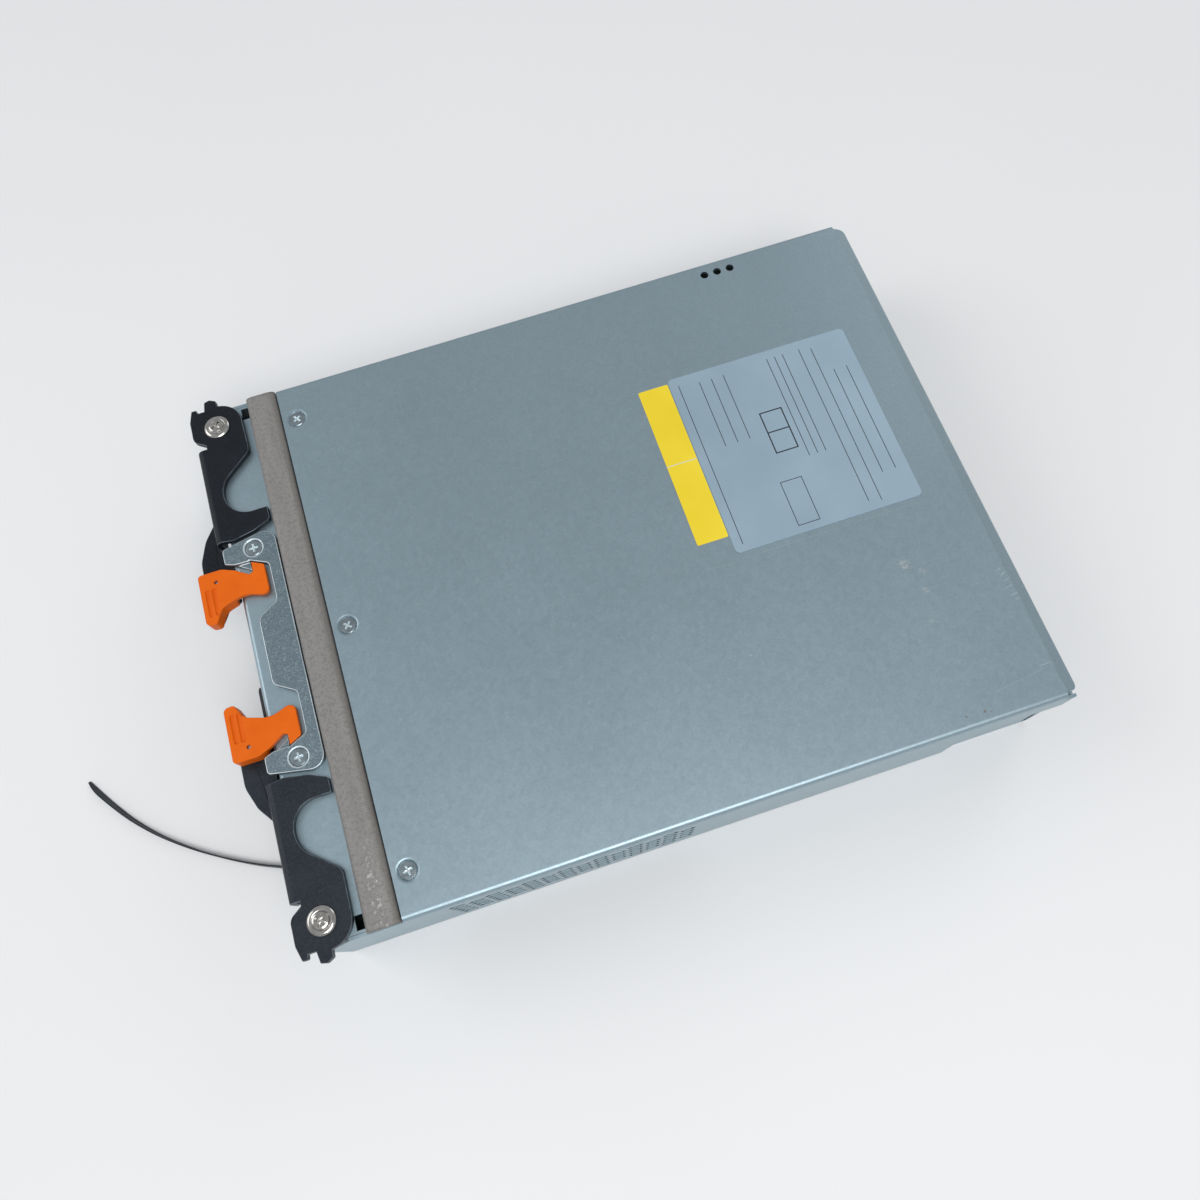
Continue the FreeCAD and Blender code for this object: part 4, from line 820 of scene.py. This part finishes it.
# %% Countersunk screws of the cover and the bracket
flat_head = [(1.5 * mm, -2.6 * mm), (1.5 * mm, -1.35 * mm), (2.65 * mm, -0.2 * mm),
             (2.65 * mm, -0.14 * mm), (2.45 * mm, 0.0), (1.9 * mm, 0.03 * mm)]
countersunk = recessed_head("countersunk_head", flat_head, zinc_plate,
                            reach=1.45 * mm, depth=0.55 * mm, arm=0.34 * mm)
for node_name in ("cover_screws", "bracket_screws"):
    places = top_places(node_name)
    set_screws(node_name, node_name + "_heads", places, countersunk, zinc_plate, seed=7 + len(places))

# %% Shoulder screws of the levers
step_head = [(3.0 * mm, -2.6 * mm), (3.0 * mm, -1.5 * mm), (4.2 * mm, -1.5 * mm),
             (4.2 * mm, -1.2 * mm), (4.05 * mm, -1.0 * mm), (3.45 * mm, -0.72 * mm),
             (2.95 * mm, -0.70 * mm), (2.72 * mm, -0.80 * mm), (2.58 * mm, -0.62 * mm),
             (2.40 * mm, -0.22 * mm), (1.95 * mm, 0.0)]
shoulder = recessed_head("shoulder_head", step_head, nickel,
                         reach=1.70 * mm, depth=1.2 * mm, arm=0.36 * mm)
set_screws("pivot_screws", "pivot_screw_heads", top_places("pivot_screws"), shoulder, nickel, seed=21)

# %% Pan head screws of the front panel
pan_head = [(1.5 * mm, -2.0 * mm), (1.5 * mm, -1.0 * mm), (2.65 * mm, -1.0 * mm), (2.6 * mm, -0.45 * mm),
            (2.1 * mm, -0.12 * mm), (1.5 * mm, 0.0)]
pan = recessed_head("pan_head", pan_head, zinc_plate, reach=1.25 * mm, depth=0.7 * mm, arm=0.26 * mm)
face_front = (0.0, -math.pi / 2, 0.0)
for node_name in ("fan_screws", "inlet_screws"):
    places = front_places(node_name)
    set_screws(node_name, node_name + "_heads", places, pan, zinc_plate,
               seed=31 + len(places), tilt=face_front)
for spare in (countersunk, shoulder, pan):
    bpy.data.objects.remove(spare)

# %% [markdown]
# ## Conductive gasket
# A strip of nickel-grey cloth wrapped round soft foam seals the gap between the supply and its bay.
# It is glued down, so its foot is flat and its crown is soft and a little uneven. Lofting one profile
# along the strip gives the shape, with slow waves and shallow creases moved in from fixed noise.

# %% Gasket cloth
thread_scale = 420.0
gasket_rows = 181
gasket_profile = 22
side_power = 0.42
crown_power = 0.55
sleeve_swell = 0.25 * mm
sag_depth = 0.22 * mm
edge_waver = 0.10 * mm


def gasket_finish():
    finish = Finish("gasket_cloth", (0.30, 0.275, 0.25), metallic=0.25, roughness=0.62)
    weave = finish.math("MULTIPLY", finish.wave("X", thread_scale), finish.wave("Y", thread_scale))
    streak = finish.noise(260.0, 3.0, finish.stretched((1.0, 0.10, 1.0)))
    crease_shade = finish.noise(300.0, 3.0, finish.stretched((0.22, 1.0, 1.0)))
    cloud = finish.noise(90.0, 4.0)
    soil = finish.noise(480.0, 5.0)
    tone = finish.blend(finish.spread(streak, 0.3, 0.7), (0.216, 0.207, 0.194), (0.266, 0.255, 0.241))
    tone = finish.blend(finish.spread(cloud, 0.4, 0.8, 0.0, 0.5), tone, (0.238, 0.235, 0.228))
    # The darker tone along the creases is painted shade in the folds of the cloth.
    tone = finish.blend(finish.spread(crease_shade, 0.62, 0.74, 0.0, 0.30), tone, (0.16, 0.15, 0.14))
    tone = finish.blend(finish.spread(soil, 0.60, 0.76, 0.0, 0.40), tone, (0.15, 0.14, 0.13))
    tone = finish.blend(finish.spread(weave, 0.1, 0.9, 0.0, 0.22), tone, (0.42, 0.40, 0.38))
    pits = finish.noise(1100.0, 2.0)
    tone = finish.blend(finish.spread(pits, 0.54, 0.34, 0.0, 0.40), tone, (0.13, 0.125, 0.12))
    parts = finish.axes()
    near_end = finish.spread(parts["Y"], gasket_low.y + 26 * mm, gasket_low.y + 16 * mm)
    # Pale patches are laid along the middle of the crown, fading out away from the low-y end.
    pale_middle_x = (gasket_low.x + gasket_high.x) / 2 + 0.4 * mm
    middle = finish.math("ABSOLUTE", finish.math("SUBTRACT", parts["X"], pale_middle_x))
    # A darker brown band along the cover-side edge is painted shade where the cloth rolls down to the
    # cover.
    rim = finish.spread(parts["X"], gasket_high.x - 2.0 * mm, gasket_high.x - 1.0 * mm, 0.0, 0.45)
    tone = finish.blend(rim, tone, (0.130, 0.112, 0.096))
    pale_middle_patch = finish.math("MULTIPLY", finish.spread(finish.noise(820.0, 4.0), 0.55, 0.62),
                        finish.spread(middle, 2.0 * mm, 1.2 * mm))
    tone = finish.blend(finish.math("MULTIPLY", pale_middle_patch, near_end), tone, (0.43, 0.42, 0.40))
    finish.colour(tone)
    finish.rough(finish.spread(streak, 0.2, 0.8, 0.55, 0.70))
    finish.bump(weave, 0.35, 0.0001)
    finish.bump(streak, 0.12, 0.0003)
    finish.bump(crease_shade, 0.16, 0.0003)
    return finish


def gasket_station(y):
    width = gasket_high.x - gasket_low.x + sleeve_swell
    height = gasket_high.z - gasket_low.z
    points = []
    for k in range(gasket_profile + 1):
        s = k / gasket_profile
        angle = math.pi * (1 - s)
        x = math.copysign(abs(math.cos(angle)) ** side_power, math.cos(angle)) * 0.5 * width
        z = (math.sin(angle) ** crown_power) * height
        sag = noise.noise(Vector((s * 2.2, y * 55.0, 3.0))) * sag_depth * math.sin(math.pi * s)
        edge = noise.noise(Vector((9.0, y * 80.0, s))) * edge_waver
        points.append(Vector((gasket_low.x + width / 2 + x + edge * math.cos(angle), y,
                              gasket_low.z + min(height, max(0.0, z * 0.97 + sag)))))
    return points


gasket_length = gasket_high.y - gasket_low.y
gasket = loft("gasket_sleeve", [gasket_station(gasket_low.y + gasket_length * r / (gasket_rows - 1))
                                for r in range(gasket_rows)])
wear(gasket, gasket_finish())
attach(gasket, "chassis")
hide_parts("emi_gasket")
print("gasket:", len(gasket.data.polygons), "faces")

# %% [markdown]
# ## Labels
# Two stickers lie on the cover. The silver one has plain ruled rows and boxes, and the yellow one a pale
# seam between its two halves. A sticker is a thin plate with round corners, and its film is slightly
# uneven where it was rubbed down.

# %% Label helper
label_grid = 2.0 * mm
corner_steps = 6


def rounded_outline(low, high, radius):
    points = []
    corners = (((high.x - radius, high.y - radius), 0), ((low.x + radius, high.y - radius), 90),
               ((low.x + radius, low.y + radius), 180), ((high.x - radius, low.y + radius), 270))
    for (cx, cy), start in corners:
        for k in range(corner_steps + 1):
            a = math.radians(start + 90 * k / corner_steps)
            points.append((cx + radius * math.cos(a), cy + radius * math.sin(a)))
    return points


def sticker(name, low, high, finish, radius, thickness, relief):
    work = bmesh.new()
    outline = rounded_outline(low, high, radius)
    work.faces.new([work.verts.new((x, y, 0)) for x, y in outline])
    for axis, start, end in ((0, low.x, high.x), (1, low.y, high.y)):
        count = int((end - start) / label_grid)
        normal = Vector((1, 0, 0)) if axis == 0 else Vector((0, 1, 0))
        for k in range(1, count):
            at = normal * (start + (end - start) * k / count)
            geometry = work.verts[:] + work.edges[:] + work.faces[:]
            bmesh.ops.bisect_plane(work, geom=geometry, plane_co=at, plane_no=normal)
    for vert in work.verts:
        vert.co.z = top_z + thickness + relief(vert.co.x, vert.co.y)
    rim = bmesh.ops.extrude_face_region(work, geom=work.faces[:])
    for vert in (v for v in rim["geom"] if isinstance(v, bmesh.types.BMVert)):
        vert.co.z = top_z
    bmesh.ops.recalc_face_normals(work, faces=work.faces)
    mesh = bpy.data.meshes.new(name)
    work.to_mesh(mesh)
    work.free()
    shade(mesh)
    piece = new_object(name, mesh)
    mesh.set_sharp_from_angle(angle=sharp_turn)
    wear(piece, finish)
    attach(piece, "chassis")
    return piece


def gentle_relief(depth, seed):
    return lambda x, y: depth * (0.5 + 0.5 * noise.noise(Vector((x * 60.0, y * 60.0, seed))))


# %% Silver label
silver_low = Vector((cover_x + 126.2 * mm, -16.5 * mm))
silver_high = Vector((cover_x + 188.7 * mm, 49.2 * mm))


def ruled_lines(finish, xs, ys, width):
    parts = finish.axes()
    masks = []
    for across, along, lines in (("X", "Y", xs), ("Y", "X", ys)):
        for place, (a, b) in lines:
            near = finish.math("ABSOLUTE", finish.math("SUBTRACT", parts[across], place))
            reach = finish.math("ABSOLUTE", finish.math("SUBTRACT", parts[along], (a + b) / 2))
            masks.append(finish.math("MULTIPLY", finish.math("LESS_THAN", near, width),
                                     finish.math("LESS_THAN", reach, abs(b - a) / 2 + width)))
    return strongest(finish, masks)


def label_finish(name, low, high, rules, ink, roughness, metallic):
    finish = Finish(name, high, metallic=metallic, roughness=roughness)
    cloud = finish.noise(45.0, 3.0)
    fibre = finish.noise(2200.0, 2.0)
    tone = finish.blend(finish.spread(cloud, 0.3, 0.7), low, high)
    tone = finish.blend(finish.spread(fibre, 0.55, 0.8, 0.0, 0.12), tone, low)
    lines = strongest(finish, [ruled_lines(finish, xs, ys, width) for xs, ys, width in rules])
    finish.colour(finish.blend(lines, tone, ink))
    finish.rough(finish.spread(cloud, 0.2, 0.8, roughness - 0.03, roughness + 0.05))
    finish.bump(cloud, 0.05, 0.0006)
    return finish


def along_cover(rows):
    return [(cover_x + x * mm, (low * mm, high * mm)) for x, low, high in rows]


def box_rules(x_low, x_high, y_low, y_high, width, shelves=()):
    ends = (cover_x + x_low * mm, cover_x + x_high * mm)
    sides = along_cover([(x_low, y_low, y_high), (x_high, y_low, y_high)])
    return sides, [(y * mm, ends) for y in (y_low, y_high, *shelves)], width


fine_line = 0.12 * mm
bold_line = 0.22 * mm
plain_rows = along_cover([(184.4, -5.0, 35.0), (180.0, -5.0, 35.0), (175.8, -14.0, 45.0),
                          (171.8, -13.0, 46.0), (166.0, 8.0, 46.0), (163.2, 8.0, 46.0),
                          (160.4, 8.0, 46.0), (144.6, 20.0, 45.0), (140.4, 20.0, 45.0),
                          (136.2, 20.0, 45.0), (129.2, -14.0, 46.0)])
silver_rules = [(plain_rows, [], fine_line), box_rules(147.9, 155.0, -13.9, 1.8, fine_line),
                box_rules(150.7, 158.1, 12.1, 27.3, bold_line, (19.8,))]
silver = label_finish("silver_label_film", (0.425, 0.568, 0.668), (0.455, 0.598, 0.700), silver_rules,
                      ink=(0.06, 0.065, 0.075), roughness=0.38, metallic=0.85)
silver_label = sticker("silver_label", silver_low, silver_high, silver, radius=1.6 * mm,
                       thickness=0.12 * mm, relief=gentle_relief(0.03 * mm, 4.0))

# %% Yellow strip
yellow_low = Vector((cover_x + 115.6 * mm, -10.2 * mm))
yellow_high = Vector((cover_x + 125.9 * mm, 47.9 * mm))
seam_width = 0.16 * mm
yellow_rules = [([], [(18.8 * mm, (yellow_low.x, yellow_high.x))], seam_width)]
yellow = label_finish("yellow_label_film", (0.80, 0.60, 0.015), (0.86, 0.66, 0.03), yellow_rules,
                      ink=(0.62, 0.62, 0.50), roughness=0.42, metallic=0.0)
yellow_label = sticker("yellow_label", yellow_low, yellow_high, yellow, radius=0.5 * mm,
                       thickness=0.10 * mm, relief=gentle_relief(0.02 * mm, 8.0))
print("labels:", len(silver_label.data.polygons), "and", len(yellow_label.data.polygons), "faces")

# %% Strap on its body
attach(strap_tail, "chassis")
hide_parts("retention_strap")

# %% [markdown]
# ## Floor and light
# The supply is shown by itself, so it stands on a plain pale floor. One large soft panel overhead and
# two weaker ones give broad highlights on the bend of the case, and a pale world fills the shadows.
# Each panel faces the supply.

# %% Floor
def floor_finish():
    finish = Finish("studio_floor", (0.80, 0.80, 0.80), roughness=0.85)
    cloud = finish.noise(3.0, 2.0)
    finish.colour(finish.blend(finish.spread(cloud, 0.3, 0.7), (0.79, 0.79, 0.79), (0.81, 0.81, 0.81)))
    return finish


floor_half = 3.0
floor_corners = [(floor_half * s, floor_half * t, 0) for s, t in ((-1, -1), (1, -1), (1, 1), (-1, 1))]
floor = add_piece("floor", floor_corners, [(0, 1, 2, 3)])
wear(floor, floor_finish())


# %% Lights
def soft_panel(name, place, size, power):
    lamp = bpy.data.lights.new(name, "AREA")
    lamp.shape = "DISK"
    lamp.size = size
    lamp.energy = power
    holder = new_object(name, lamp)
    holder.location = place
    holder.rotation_euler = (-Vector(place)).to_track_quat("-Z", "Y").to_euler()


soft_panel("overhead", (0.0, -0.70, 1.25), size=0.9, power=10.5)
soft_panel("left_fill", (-1.2, 0.5, 0.9), size=1.0, power=5.0)
soft_panel("rear_fill", (1.1, 0.9, 0.8), size=0.8, power=2.0)
world = bpy.data.worlds.new("studio")
world.use_nodes = True
world.node_tree.nodes["Background"].inputs["Color"].default_value = (0.86, 0.89, 0.93, 1.0)
world.node_tree.nodes["Background"].inputs["Strength"].default_value = 0.55
bpy.context.scene.world = world
bpy.context.scene.view_settings.view_transform = "Standard"
